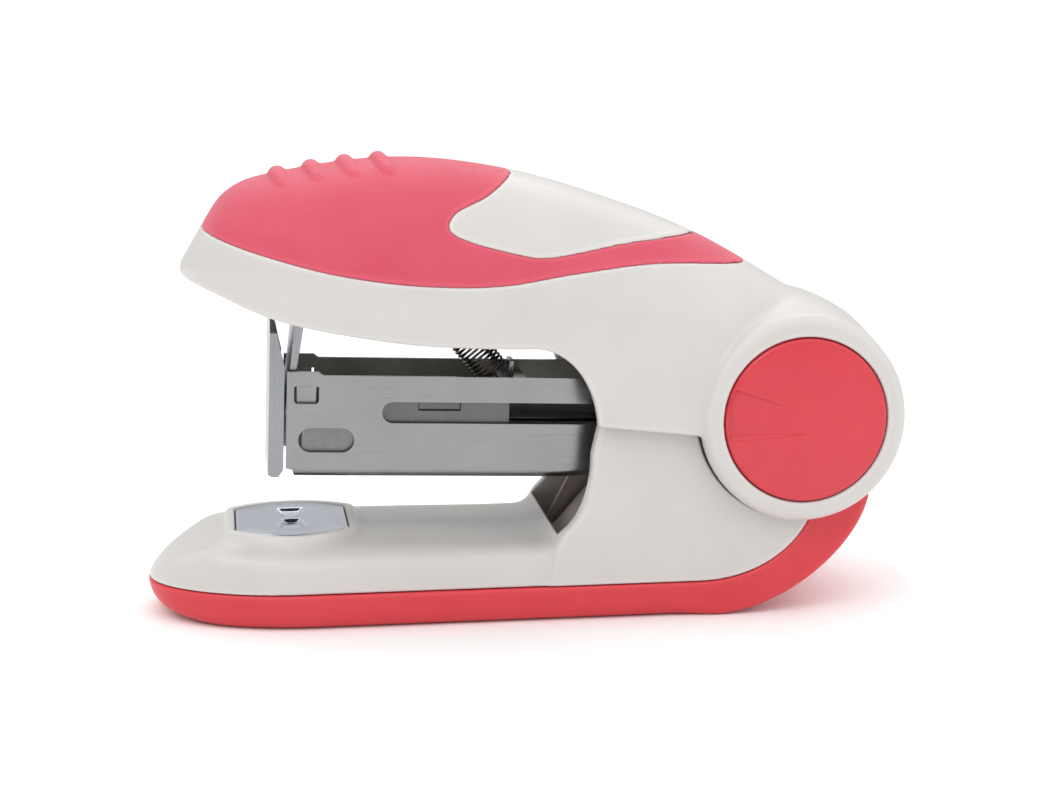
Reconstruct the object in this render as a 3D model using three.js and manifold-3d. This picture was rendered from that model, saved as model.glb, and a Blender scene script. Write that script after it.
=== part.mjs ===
// A mini half-strip stapler: sprung magazine and handle on one pivot pin, over a plastic base with a steel
// frame. Millimetres, +Z up. X runs from the nose (-X) to the pivot (+X), Y is the width. The sole rests on
// z = 0.
import * as THREE from "three";
import { mergeVertices } from "three/addons/utils/BufferGeometryUtils.js";
import { ParametricGeometry } from "three/addons/geometries/ParametricGeometry.js";
import Module from "manifold-3d";

const wasm = await Module();
wasm.setup();

// ---- driving dimensions ----
const PIVOT = { x: 34.6, z: 25.7 };
const GAP = 0.3; // between pieces that touch or nest

// Half widths, from the middle outwards.
const STAPLE_HALF = 6.4;
const CASE_HALF = 7.4;
const CASE_WALL = 0.6;
const FRAME_IN = 8.0;
const FRAME_T = 1.0;
const ARM_IN = 9.4;
const ARM_T = 0.8;
const COVER_IN = 11.9;
const COVER_HALF = 13.9;
const HANDLE_HALF = 16.3;
const HANDLE_WALL = 1.8;
const RING_HALF = 17.3;
const CAP_HALF = 17.9;

// Hub of the handle, round the pivot.
const HUB_R = 13;
const HUB_WALL = 1.7;
const HUB_SKIN_LOW = -35; // degrees from +X, where the hub's back skin ends
const HUB_SKIN_HIGH = 122;
const CAP_R = 10.3;
const CAP_SEAT_Y = 15.9;
const BOSS_R = 6;
const BOSS_IN = 11;

// Pivot pin.
const PIN_R = 2;
const PIN_BORE_R = PIN_R + GAP;
const PIN_HEAD_R = 3.2;
const PIN_SEAT_Y = 15;

// Base.
const BASE_NOSE_X = -47.5;
const BASE_NOSE_L = 21.5;
const SEAM_Z = 4.6;
const ARM_TOP_Z = 11;
const HUB_CLEAR_R = HUB_R + 0.4;
const LIP_R = 14.4; // outside of the sole's lip behind the hub
const LIP_ANGLE = -49;
const CHANNEL_X = 4.2;
const PLATE_Z = 5.2;
const ANVIL_X = -28.9;
const ANVIL_TOP = 11.3;
const ANVIL_T = 0.8;

// Handle.
const HANDLE_NOSE_X = -42;
const HANDLE_NOSE_L = 20;
const HANDLE_END_X = 43.2;
const CROWN = 2.3; // superellipse exponent of the handle's cross-section
const BODY_STATIONS = 22;
const BODY_AROUND = 26;
const GRIP_T = 0.8;
const GRIP_POCKET = GRIP_T + GAP;

// Magazine, in its own frame: origin on the pivot, +x towards the rear.
const MAG_TILT = THREE.MathUtils.degToRad(2);
const CASE_TOP = 3.1;
const CASE_BOTTOM = -9.6;
const CASE_FRONT = -64;
const FLOOR_FRONT = -62.2;
const STRIP_FRONT = -62;
const STAPLE_COUNT = 19;
const STAPLE_PITCH = 0.5;
const STAPLE_WIRE = 0.42;
const CROWN_Z = -2.6;
const RAIL_HALF = 5.5;
const RAIL_TOP = CROWN_Z - 0.8;
const RAIL_BOTTOM = CASE_BOTTOM + CASE_WALL + GAP;
const STRIP_REAR = STRIP_FRONT + STAPLE_COUNT * STAPLE_PITCH;
const PUSHER_L = 16.4;

// ---- solids ----
function toSolid(geometry) {
  const bare = geometry.clone();
  bare.deleteAttribute("normal");
  bare.deleteAttribute("uv");
  const merged = mergeVertices(bare, 1e-4);
  const kept = [];
  const index = merged.index.array;
  for (let i = 0; i < index.length; i += 3) {
    const [a, b, c] = [index[i], index[i + 1], index[i + 2]];
    if (a !== b && b !== c && a !== c) kept.push(a, b, c);
  }
  const vertProperties = new Float32Array(merged.attributes.position.array);
  const triVerts = new Uint32Array(kept);
  return new wasm.Manifold(new wasm.Mesh({ numProp: 3, vertProperties, triVerts }));
}

function toGeometry(solid) {
  const { vertProperties, triVerts } = solid.getMesh();
  const geometry = new THREE.BufferGeometry();
  geometry.setAttribute("position", new THREE.BufferAttribute(vertProperties, 3));
  geometry.setIndex(new THREE.BufferAttribute(triVerts, 1));
  geometry.computeVertexNormals();
  return geometry;
}

function union(...solids) {
  return solids.reduce((whole, solid) => whole.add(solid));
}

function without(solid, ...cutters) {
  return cutters.reduce((rest, cutter) => rest.subtract(cutter), solid);
}

// Box from low to high corner.
function block(x0, x1, y0, y1, z0, z1) {
  const geometry = new THREE.BoxGeometry(x1 - x0, y1 - y0, z1 - z0);
  return toSolid(geometry.translate((x0 + x1) / 2, (y0 + y1) / 2, (z0 + z1) / 2));
}

// A side-view outline in x and z, extruded across the width from y0 to y1.
function slab(shape, y0, y1, curveSegments = 10) {
  const geometry = new THREE.ExtrudeGeometry(shape, { depth: y1 - y0, bevelEnabled: false, curveSegments });
  return toSolid(geometry.rotateX(Math.PI / 2).translate(0, y1, 0));
}

// A cross-section in y and z, extruded along the length from x0 to x1.
function lengthwise(shape, x0, x1) {
  const geometry = new THREE.ExtrudeGeometry(shape, { depth: x1 - x0, bevelEnabled: false });
  return toSolid(geometry.rotateX(Math.PI / 2).rotateZ(Math.PI / 2).translate(x0, 0, 0));
}

// A plan outline in x and y, extruded upwards from z0 to z1.
function prism(shape, z0, z1, curveSegments = 10) {
  const geometry = new THREE.ExtrudeGeometry(shape, { depth: z1 - z0, bevelEnabled: false, curveSegments });
  return toSolid(geometry.translate(0, 0, z0));
}

function polygon(points) {
  return new THREE.Shape(points.map(([a, b]) => new THREE.Vector2(a, b)));
}

// Round bar across the width.
function crossBar(x, z, radius, y0, y1, sides = 32) {
  const geometry = new THREE.CylinderGeometry(radius, radius, y1 - y0, sides);
  return toSolid(geometry.translate(x, (y0 + y1) / 2, z));
}

// Upright round bar.
function post(x, y, radius, z0, z1, sides = 20) {
  const geometry = new THREE.CylinderGeometry(radius, radius, z1 - z0, sides);
  return toSolid(geometry.rotateX(Math.PI / 2).translate(x, y, (z0 + z1) / 2));
}

// A rivet with a domed head on top of a straight shank.
function rivet(x, y, headTop, shankEnd, radius, headRadius) {
  const headHeight = 0.6;
  const profile = [
    [0, shankEnd],
    [radius, shankEnd],
    [radius, headTop - headHeight],
    [headRadius, headTop - headHeight],
    [headRadius * 0.75, headTop - headHeight * 0.3],
    [0, headTop],
  ];
  const geometry = new THREE.LatheGeometry(profile.map(([r, z]) => new THREE.Vector2(r, z)), 16);
  return toSolid(geometry.rotateX(Math.PI / 2).translate(x, y, 0));
}

// Smooth height through a few (x, z) points, by cubic Hermite pieces.
function throughPoints(points) {
  const slopeAt = (i) => {
    const before = points[Math.max(i - 1, 0)];
    const after = points[Math.min(i + 1, points.length - 1)];
    return (after[1] - before[1]) / (after[0] - before[0]);
  };
  return (x) => {
    if (x <= points[0][0]) return points[0][1];
    if (x >= points.at(-1)[0]) return points.at(-1)[1];
    const i = points.findIndex((point) => point[0] > x) - 1;
    const [x0, z0] = points[i];
    const [x1, z1] = points[i + 1];
    const span = x1 - x0;
    const t = (x - x0) / span;
    const bend = (1 - t) * (1 - t) * t * slopeAt(i) - (1 - t) * t * t * slopeAt(i + 1);
    return z0 + (z1 - z0) * t * t * (3 - 2 * t) + span * bend;
  };
}

// Half width of a plan that is straight behind an elliptical nose.
function noseHalfWidth(x, noseX, length, half, power = 2) {
  const t = Math.min(Math.max((noseX + length - x) / length, 0), 1);
  return half * Math.pow(1 - Math.pow(t, power), 1 / power);
}

function nosePlan(noseX, length, half, rearX) {
  const steps = 14;
  const side = [];
  for (let i = 0; i <= steps; i += 1) {
    const angle = (Math.PI / 2) * (i / steps);
    side.push([noseX + length - length * Math.cos(angle), half * Math.sin(angle)]);
  }
  side.push([rearX, half]);
  const mirrored = side.slice(1).reverse().map(([x, y]) => [x, -y]);
  return polygon([...side, ...mirrored].reverse());
}

// A closed tube of round section along a curve.
function wire(curve, radius, steps, sides) {
  const section = new THREE.Shape().absarc(0, 0, radius, 0, 2 * Math.PI);
  const options = { extrudePath: curve, steps, curveSegments: sides, bevelEnabled: false };
  return toSolid(new THREE.ExtrudeGeometry(section, options));
}

class HelixCurve extends THREE.Curve {
  constructor(start, end, radius, turns) {
    super();
    this.start = start;
    this.axis = end.clone().sub(start);
    const along = this.axis.clone().normalize();
    this.u = new THREE.Vector3(0, 1, 0);
    this.v = along.clone().cross(this.u);
    this.radius = radius;
    this.turns = turns;
  }

  getPoint(t, target = new THREE.Vector3()) {
    const angle = 2 * Math.PI * this.turns * t;
    target.copy(this.start).addScaledVector(this.axis, t);
    target.addScaledVector(this.u, this.radius * Math.cos(angle));
    return target.addScaledVector(this.v, this.radius * Math.sin(angle));
  }
}

// ---- materials ----
function finish(color, roughness, metalness = 0) {
  return () => new THREE.MeshStandardMaterial({ color, roughness, metalness });
}

const WHITE_ABS = finish(0xdedcd8, 0.35);
const PINK_GRIP = finish(0xe06880, 0.75);
const PINK_GLOSS = finish(0xdf4f5c, 0.3);
const PINK_SOLE = finish(0xd4464f, 0.45);
const BRIGHT_STEEL = finish(0xa4a6aa, 0.25, 1);
const SPRING_STEEL = finish(0x6a6865, 0.35, 1);

function node(name, solid, material) {
  const mesh = new THREE.Mesh(toGeometry(solid), material());
  mesh.name = name;
  return mesh;
}

// ---- base ----
// Side view of the white cover: arm, jaw curve, cheeks, and the lobe behind them under the hub.
function coverSide() {
  const shape = new THREE.Shape();
  shape.moveTo(BASE_NOSE_X, SEAM_Z);
  shape.splineThru([
    new THREE.Vector2(-45.3, 6.6),
    new THREE.Vector2(-42.7, 8.3),
    new THREE.Vector2(-39.6, 9.8),
    new THREE.Vector2(-36, ARM_TOP_Z),
  ]);
  shape.lineTo(-22, ARM_TOP_Z);
  shape.bezierCurveTo(-14, 10.7, -4, 9.9, 1.5, 10.2);
  shape.bezierCurveTo(6.4, 10.9, 8.2, 16, 8.2, 21.5);
  shape.lineTo(9.6, 27.5);
  shape.lineTo(24, 27.5);
  shape.lineTo(34, 20);
  shape.lineTo(35.6, 12);
  shape.bezierCurveTo(33.2, 8.2, 28.4, SEAM_Z, 22, SEAM_Z);
  return shape;
}

// Half a superellipse across the base, from its level at the sides to its crown or keel.
function roundedSection(level, crown, power) {
  const steps = 20;
  const points = [];
  for (let i = 0; i <= steps; i += 1) {
    const angle = Math.PI * (i / steps);
    const across = Math.cos(angle);
    const y = COVER_HALF * Math.sign(across) * Math.pow(Math.abs(across), 2 / power);
    points.push([y, level + (crown - level) * Math.pow(Math.abs(Math.sin(angle)), 2 / power)]);
  }
  return polygon(crown > level ? points : points.reverse());
}

function baseCover() {
  const plan = prism(nosePlan(BASE_NOSE_X, BASE_NOSE_L, COVER_HALF, 40), 0, 40);
  const arm = lengthwise(roundedSection(SEAM_Z, ARM_TOP_Z, 3.2), -60, 2);
  const crowned = union(arm, block(2, 60, -20, 20, 0, 40));
  const outer = slab(coverSide(), -COVER_HALF, COVER_HALF).intersect(plan).intersect(crowned);
  return without(
    outer,
    crossBar(PIVOT.x, PIVOT.z, HUB_CLEAR_R, -20, 20, 40),
    block(CHANNEL_X, 60, -COVER_IN, COVER_IN, 0, 40),
    block(-37.5, CHANNEL_X + 1, -10.6, 10.6, 0, 8.6),
    prism(anvilPlan(GAP), ANVIL_TOP - ANVIL_T - GAP, 20),
    post(ANVIL_X, 0, 1.9, 0, 12),
  );
}

// Height of the sole's underside, then its back curling up behind the hub.
function soleSide() {
  const top = SEAM_Z - GAP;
  const lip = THREE.MathUtils.degToRad(LIP_ANGLE);
  const lipStart = THREE.MathUtils.degToRad(-83);
  const shape = new THREE.Shape();
  shape.moveTo(BASE_NOSE_X, top);
  shape.bezierCurveTo(-47.2, 1.4, -43.5, 0, -37, 0);
  shape.lineTo(24, 0);
  shape.bezierCurveTo(33.5, 0.2, 42.6, 8.2, PIVOT.x + LIP_R * Math.cos(lip), PIVOT.z + LIP_R * Math.sin(lip));
  shape.absarc(PIVOT.x, PIVOT.z, HUB_CLEAR_R, lip, lipStart, true);
  shape.bezierCurveTo(33.9, 7.7, 28.8, top, 22, top);
  return shape;
}

function baseSole() {
  const plan = prism(nosePlan(BASE_NOSE_X, BASE_NOSE_L, COVER_HALF, 60), -1, 40);
  const tray = prism(nosePlan(BASE_NOSE_X + 3.5, BASE_NOSE_L, COVER_HALF - 2.6, 21), 1.6, 6);
  const keel = lengthwise(roundedSection(SEAM_Z, -0.15, 3.6), -60, 60);
  const above = block(-60, 60, -20, 20, SEAM_Z - 0.01, 40);
  const blank = slab(soleSide(), -COVER_HALF, COVER_HALF);
  return blank.intersect(plan).intersect(union(keel, above)).subtract(tray);
}

// Steel plate through the base, folded up into two ears that hold the pivot pin.
function baseFrame() {
  const plateTop = PLATE_Z + FRAME_T;
  const ear = polygon([
    [5.6, PLATE_Z],
    [20.5, PLATE_Z],
    [24.5, 16.4],
    [36, 21.6],
    [39, 25.7],
    [36.5, 29.6],
    [32.5, 29.6],
    [20, 21.6],
    [9.8, 16],
    [5.6, 8],
  ]);
  const out = FRAME_IN + FRAME_T;
  return without(
    union(
      block(-36.5, 20.5, -out, out, PLATE_Z, plateTop),
      slab(ear, -out, -FRAME_IN),
      slab(ear, FRAME_IN, out),
    ),
    crossBar(PIVOT.x, PIVOT.z, PIN_BORE_R, -20, 20),
    post(ANVIL_X, 0, 1.9, 0, 12),
    post(-3, 0, 1.6, 0, 12),
  );
}

// Barrel-shaped plan of the anvil, grown by a margin.
function anvilPlan(margin = 0) {
  const half = 7.1 + margin;
  const end = 6 + margin;
  const bulge = 12.2 + margin * 2;
  const shape = new THREE.Shape();
  shape.moveTo(ANVIL_X - half, -end);
  shape.quadraticCurveTo(ANVIL_X, -bulge, ANVIL_X + half, -end);
  shape.lineTo(ANVIL_X + half, end);
  shape.quadraticCurveTo(ANVIL_X, bulge, ANVIL_X - half, end);
  return shape;
}

function anvilPlate() {
  const plate = prism(anvilPlan(), ANVIL_TOP - ANVIL_T, ANVIL_TOP);
  const grooves = [-1, 1].map((side) => {
    const groove = crossBar(0, 0, 1.2, side > 0 ? 0.6 : -5.6, side > 0 ? 5.6 : -0.6, 12);
    return groove.translate([ANVIL_X, 0, ANVIL_TOP + 0.8]);
  });
  return without(plate, ...grooves);
}

function liftSpring() {
  const t = 0.4;
  const path = [
    [-7, 6.8],
    [4.2, 6.8],
    [6.2, 7.6],
    [13.2, 15.4],
    [14.6, 16.1],
    [16, 15.8],
  ];
  const under = path.map(([x, z], i) => [x + (i > 1 ? t * 0.7 : 0), z - t]).reverse();
  const leaf = slab(polygon([...path, ...under].reverse()), -6.6, 6.6);
  return leaf.subtract(post(-3, 0, 1.6, 0, 12));
}

// ---- magazine, in its own frame ----
function magazineCase() {
  const sideOutline = polygon([
    [CASE_FRONT, CASE_BOTTOM + 1.1],
    [CASE_FRONT + 0.8, CASE_BOTTOM],
    [-16, CASE_BOTTOM],
    [-4, -5.6],
    [3.4, -4],
    [4.6, 0],
    [3.2, CASE_TOP],
    [CASE_FRONT + 2.6, CASE_TOP],
    [CASE_FRONT + 2, CASE_TOP + 0.9],
    [CASE_FRONT, CASE_TOP + 0.9],
  ]);
  const inner = CASE_HALF - CASE_WALL;
  const slot = new THREE.Shape();
  slot.absarc(-50.7, -1.3, 1.35, Math.PI / 2, 1.5 * Math.PI);
  slot.lineTo(-5, -2.65);
  slot.lineTo(-5, 0.05);
  const window = new THREE.Shape();
  window.absarc(-60.95, -4.9, 1.55, Math.PI / 2, 1.5 * Math.PI);
  window.absarc(-57.05, -4.9, 1.55, -Math.PI / 2, Math.PI / 2);
  return without(
    slab(sideOutline, -CASE_HALF, CASE_HALF),
    block(-70, 10, -inner, inner, CASE_BOTTOM + CASE_WALL, 10),
    block(-70, FLOOR_FRONT, -inner, inner, -12, 10),
    block(-10, 10, -inner, inner, -12, 10),
    slab(slot, -10, 0, 6),
    slab(window, -10, 10, 6),
    crossBar(0, 0, PIN_BORE_R, -10, 10),
  );
}

// Tall plate that closes the magazine's nose, with a short flange round each side of it.
function frontPlate() {
  const outer = -66.2;
  const t = 0.7;
  const back = CASE_FRONT - GAP;
  const flange = polygon([
    [outer, CASE_BOTTOM + 0.2],
    [back, CASE_BOTTOM + 0.2],
    [back - 0.6, 8.2],
    [outer, 10.2],
  ]);
  return slab(flange, -CASE_HALF, CASE_HALF).subtract(
    block(outer + t, 0, -CASE_HALF + CASE_WALL, CASE_HALF - CASE_WALL, -20, 20),
  );
}

// Inverted channel that the staples straddle, with a slot for the pusher's tongue.
function stapleRail() {
  const body = block(STRIP_FRONT + 0.4, -18, -RAIL_HALF, RAIL_HALF, RAIL_BOTTOM, RAIL_TOP);
  const wall = 0.6;
  return without(
    body,
    block(-60.8, 0, -RAIL_HALF + wall, RAIL_HALF - wall, -20, RAIL_TOP - wall),
    block(-53, -21, -1.2, 1.2, -20, 0),
  );
}

// One staple of the strip: crown and two legs, joined to the next by a thin web.
function stapleStrip() {
  const leg = STAPLE_HALF - STAPLE_WIRE;
  const foot = CASE_BOTTOM + CASE_WALL + GAP;
  const hoop = polygon([
    [-STAPLE_HALF, foot],
    [-leg, foot],
    [-leg, CROWN_Z - STAPLE_WIRE],
    [leg, CROWN_Z - STAPLE_WIRE],
    [leg, foot],
    [STAPLE_HALF, foot],
    [STAPLE_HALF, CROWN_Z],
    [-STAPLE_HALF, CROWN_Z],
  ]);
  const notchDepth = 0.1;
  let strip = lengthwise(hoop, STRIP_FRONT, STRIP_REAR);
  for (let i = 1; i < STAPLE_COUNT; i += 1) {
    const x = STRIP_FRONT + i * STAPLE_PITCH;
    const top = block(x - 0.05, x + 0.05, -7, 7, CROWN_Z - notchDepth, 0);
    const left = block(x - 0.05, x + 0.05, -7, -STAPLE_HALF + notchDepth, -10, 0);
    const right = block(x - 0.05, x + 0.05, STAPLE_HALF - notchDepth, 7, -10, 0);
    strip = strip.subtract(union(top, left, right));
  }
  return strip;
}

// Saddle that rides the rail behind the staples, with a tongue down through the rail's slot.
function pusher() {
  const front = STRIP_REAR + GAP;
  const rear = front + PUSHER_L;
  const half = CASE_HALF - CASE_WALL - GAP;
  const body = block(front, rear, -half, half, CASE_BOTTOM + CASE_WALL + GAP, 0.5);
  return union(
    without(
      body,
      block(front - 1, rear + 1, -RAIL_HALF - GAP, RAIL_HALF + GAP, -12, RAIL_TOP + GAP),
      block(front + 4.8, front + 10.1, -9, -half + 0.4, -1.2, 0.1),
      block(front + 4.8, front + 10.1, half - 0.4, 9, -1.2, 0.1),
    ),
    block(front + 0.5, front + 2.1, -0.8, 0.8, -7, RAIL_TOP + GAP + 0.1),
    block(rear - 1.2, rear - 0.4, -1.5, 1.5, 0.4, 1.2),
  );
}

function pusherSpring() {
  const start = new THREE.Vector3(-60.4, 0, -6.2);
  const end = new THREE.Vector3(STRIP_REAR + 0.2, 0, -6.2);
  return wire(new HelixCurve(start, end, 1.4, 12), 0.2, 12 * 8, 2);
}

// Strap across the inside of the magazine, with an upright eye for the handle spring's lower hook.
function springBridge() {
  const half = CASE_HALF - CASE_WALL - GAP;
  const eye = without(
    block(-35.4, -34.8, -1.6, 1.6, 1.9, 4.6),
    toSolid(new THREE.CylinderGeometry(0.6, 0.6, 4, 12).rotateZ(Math.PI / 2).translate(-35, 0, 3.6)),
  );
  return union(block(-35.4, -32.8, -half, half, 1.5, 2.1), eye);
}

// ---- handle ----
const handleTop = throughPoints([
  [HANDLE_NOSE_X, 44.4],
  [-38.9, 49.1],
  [-35.2, 53.6],
  [-29.8, 55.9],
  [-15.3, 57.6],
  [-0.3, 55.9],
  [14.5, 51.4],
  [24.5, 47],
  [35.5, 40.4],
  [HANDLE_END_X, 35.6],
]);

const handleEquator = throughPoints([
  [HANDLE_NOSE_X, 44.2],
  [-37, 43.8],
  [-25, 41],
  [-8, 38],
  [6, 34],
  [20, 30],
  [HANDLE_END_X, 28],
]);

// Outer surface of the handle's body, or the same surface moved inwards by an inset.
function handleBody(inset) {
  const start = HANDLE_NOSE_X + inset * 1.2;
  const surface = (u, v, target) => {
    const x = start + (HANDLE_END_X - start) * Math.pow(v, 1.5);
    const closing = v > 0.999 ? 0 : 1;
    const opening = v < 0.001 ? 0 : 1;
    const half = noseHalfWidth(x, start, HANDLE_NOSE_L - inset, HANDLE_HALF - inset, 2.2);
    const middle = handleEquator(x);
    const up = Math.max(handleTop(x) - inset - middle, 0.05);
    const angle = 2 * Math.PI * u;
    const across = Math.cos(angle);
    const height = Math.sin(angle);
    const reach = height > 0 ? up : Math.min(45, 1 + (x - start) * 3);
    const open = closing * opening;
    const y = open * half * Math.sign(across) * Math.pow(Math.abs(across), 2 / CROWN);
    const z = middle + open * reach * Math.sign(height) * Math.pow(Math.abs(height), 2 / CROWN);
    target.set(x, y, z);
  };
  return toSolid(new ParametricGeometry(surface, BODY_AROUND, BODY_STATIONS));
}

// Everything under the handle's lower edge: nose, long edge, jaw curve and parting line.
function handleUnderside() {
  const shape = new THREE.Shape();
  shape.moveTo(-60, 46.5);
  shape.lineTo(HANDLE_NOSE_X, 44);
  shape.splineThru([
    new THREE.Vector2(-37.2, 42.2),
    new THREE.Vector2(-31.5, 39.8),
    new THREE.Vector2(-24.6, 37.8),
    new THREE.Vector2(-14.9, 36.1),
    new THREE.Vector2(-6, 35.4),
    new THREE.Vector2(1, 35.2),
  ]);
  shape.bezierCurveTo(5, 34.8, 8.2, 31, 8.6, 25.3);
  shape.lineTo(22.2, 23.7);
  shape.lineTo(60, 23.7);
  shape.lineTo(60, -40);
  shape.lineTo(-60, -40);
  return slab(shape, -30, 30);
}

// Round drum about the pivot with softened rims, the back of the handle.
function hubDrum() {
  const rim = 1.6;
  const profile = [new THREE.Vector2(0, -RING_HALF)];
  for (let i = 0; i <= 4; i += 1) {
    const angle = (Math.PI / 2) * (i / 4);
    const r = HUB_R - rim + rim * Math.sin(angle);
    profile.push(new THREE.Vector2(r, -RING_HALF + rim - rim * Math.cos(angle)));
  }
  const mirrored = profile.slice().reverse().map((point) => new THREE.Vector2(point.x, -point.y));
  const geometry = new THREE.LatheGeometry([...profile, ...mirrored], 40);
  return toSolid(geometry.translate(PIVOT.x, 0, PIVOT.z));
}

// Sector of the hub that stays open, in front of and below its back skin, for the frame and magazine.
function hubOpening(half) {
  const shape = new THREE.Shape();
  shape.moveTo(PIVOT.x, PIVOT.z);
  const from = THREE.MathUtils.degToRad(HUB_SKIN_LOW);
  const to = THREE.MathUtils.degToRad(HUB_SKIN_HIGH - 360);
  shape.absarc(PIVOT.x, PIVOT.z, HUB_R + 1, from, to, true);
  return slab(shape, -half, half, 24);
}

// Side view of the pink grip: thumb pad, and a tail down each side that meet over the back.
function gripRegion(margin) {
  const pad = new THREE.Shape();
  pad.moveTo(-46, 49.4 - margin);
  pad.lineTo(-38.9, 49.2 - margin);
  pad.splineThru([
    new THREE.Vector2(-32.4, 47.1 - margin),
    new THREE.Vector2(-22.8, 44.6 - margin),
    new THREE.Vector2(-13.1, 43.2 - margin),
    new THREE.Vector2(-3.3, 43 - margin),
    new THREE.Vector2(6.1, 44.2 - margin),
    new THREE.Vector2(17, 45 - margin),
    new THREE.Vector2(30.3 + margin, 43.2 - margin),
  ]);
  pad.lineTo(33 + margin, 50);
  pad.lineTo(10, 64);
  pad.lineTo(-46, 64);
  const saddle = new THREE.Shape();
  saddle.moveTo(-0.3 + margin, 64);
  saddle.lineTo(-0.3 + margin, 55.9);
  saddle.splineThru([
    new THREE.Vector2(-4.4 + margin, 53.4),
    new THREE.Vector2(-8.8 + margin, 51.4),
    new THREE.Vector2(-8.8 + margin, 49 + margin),
    new THREE.Vector2(-1.1, 46.6 + margin),
    new THREE.Vector2(3.4, 46.2 + margin),
    new THREE.Vector2(12.3, 47.4 + margin),
    new THREE.Vector2(20, 47.8 + margin),
    new THREE.Vector2(24.2 - margin, 46.7 + margin),
  ]);
  saddle.lineTo(28 - 2 * margin, 64);
  return slab(pad, -30, 30, 5).subtract(slab(saddle, -31, 31, 5));
}

function handleShell(outerBody) {
  const inner = union(
    handleBody(HANDLE_WALL),
    crossBar(PIVOT.x, PIVOT.z, HUB_R - HUB_WALL, -HANDLE_HALF + HANDLE_WALL, HANDLE_HALF - HANDLE_WALL, 40),
    hubOpening(HANDLE_HALF - HANDLE_WALL),
  );
  const hollow = union(outerBody.subtract(handleUnderside()), hubDrum()).subtract(inner);
  const sides = [-1, 1].map((side) => {
    const reach = (near, far) => (side > 0 ? [near, far] : [-far, -near]);
    return {
      boss: crossBar(PIVOT.x, PIVOT.z, BOSS_R, ...reach(BOSS_IN, CAP_SEAT_Y)),
      capSeat: crossBar(PIVOT.x, PIVOT.z, CAP_R + GAP, ...reach(CAP_SEAT_Y, 20), 40),
      pinSeat: crossBar(PIVOT.x, PIVOT.z, PIN_HEAD_R + 0.4, ...reach(PIN_SEAT_Y, 20)),
    };
  });
  return without(
    union(hollow, ...sides.map((side) => side.boss)),
    crossBar(PIVOT.x, PIVOT.z, PIN_BORE_R, -30, 30),
    ...sides.map((side) => side.capSeat),
    ...sides.map((side) => side.pinSeat),
    outerBody.subtract(handleBody(GRIP_POCKET)).intersect(gripRegion(GAP)),
  );
}

// A bowed grip bar across the top of the pad.
function gripRidge(x) {
  const half = 8.5;
  const points = [-1, -0.5, 0, 0.5, 1].map((t) => {
    const drop = 2.05 * Math.pow(Math.abs(t), 2.3);
    return new THREE.Vector3(x + 1.1 * t * t, half * t, handleTop(x) - 0.3 - drop);
  });
  return wire(new THREE.CatmullRomCurve3(points), 1.1, 6, 4);
}

function gripCover(outerBody) {
  const skin = outerBody.subtract(handleBody(GRIP_T)).intersect(gripRegion(0));
  const ridges = [0, 1, 2, 3].map((i) => gripRidge(-29.8 + 4.25 * i));
  const core = handleBody(GRIP_T - 0.1);
  return union(skin, ...ridges.map((ridge) => ridge.subtract(core)));
}

// Steel channel under the handle's roof, its rear ears on the pivot pin.
function handleFrame() {
  const flange = polygon([
    [-26.5, 40.4],
    [0, 38.6],
    [14, 31],
    [30.6, 24.2],
    [34.6, 21.4],
    [38.8, 25.7],
    [36, 29.8],
    [20, 38.4],
    [9, 44],
    [-26.5, 44],
  ]);
  const out = ARM_IN + ARM_T;
  return without(
    union(
      slab(flange, -out, -ARM_IN),
      slab(flange, ARM_IN, out),
      block(-26.5, 9, -out, out, 43.2, 44),
    ),
    crossBar(PIVOT.x, PIVOT.z, PIN_BORE_R, -20, 20),
    crossBar(SPRING_PIN.x, SPRING_PIN.z, 1.3, -20, 20, 16),
    post(-22, -3.2, 1.1, 30, 50, 12),
    post(-22, 3.2, 1.1, 30, 50, 12),
  );
}

const SPRING_PIN = { x: -11.4, z: 41.1 };

// Blade that drives the staple, leaning slightly, with a flange riveted under the handle frame.
function driverBlade() {
  const half = STAPLE_HALF - 0.1;
  const blade = polygon([
    [-29.6, 26.2],
    [-29, 26.1],
    [-26.9, 42.3],
    [-18, 42.3],
    [-18, 42.9],
    [-27.5, 42.9],
  ]);
  return without(
    slab(blade, -half, half),
    post(-22, -3.2, 1.1, 30, 50, 12),
    post(-22, 3.2, 1.1, 30, 50, 12),
  );
}

function handleSpring() {
  const start = new THREE.Vector3(-10.2, 0, 39.3);
  const end = new THREE.Vector3(-2.5, 0, 29.7);
  return wire(new HelixCurve(start, end, 2.05, 14), 0.19, 14 * 9, 2);
}

// ---- pivot ----
function pivotPin() {
  return union(
    crossBar(PIVOT.x, PIVOT.z, PIN_R, -PIN_SEAT_Y - 0.5, CAP_SEAT_Y - 0.1, 32),
    crossBar(PIVOT.x, PIVOT.z, PIN_HEAD_R, -PIN_SEAT_Y - 0.9, -PIN_SEAT_Y - 0.1, 32),
  );
}

// Open push-on ring that keeps the pin in.
function pinClip() {
  const ring = crossBar(PIVOT.x, PIVOT.z, PIN_HEAD_R, PIN_SEAT_Y + 0.1, PIN_SEAT_Y + 0.7, 32);
  return without(
    ring,
    crossBar(PIVOT.x, PIVOT.z, PIN_BORE_R - 0.1, 0, 20, 32),
    block(PIVOT.x - 1, PIVOT.x + 1, 0, 20, PIVOT.z, PIVOT.z + 6),
  );
}

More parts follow.
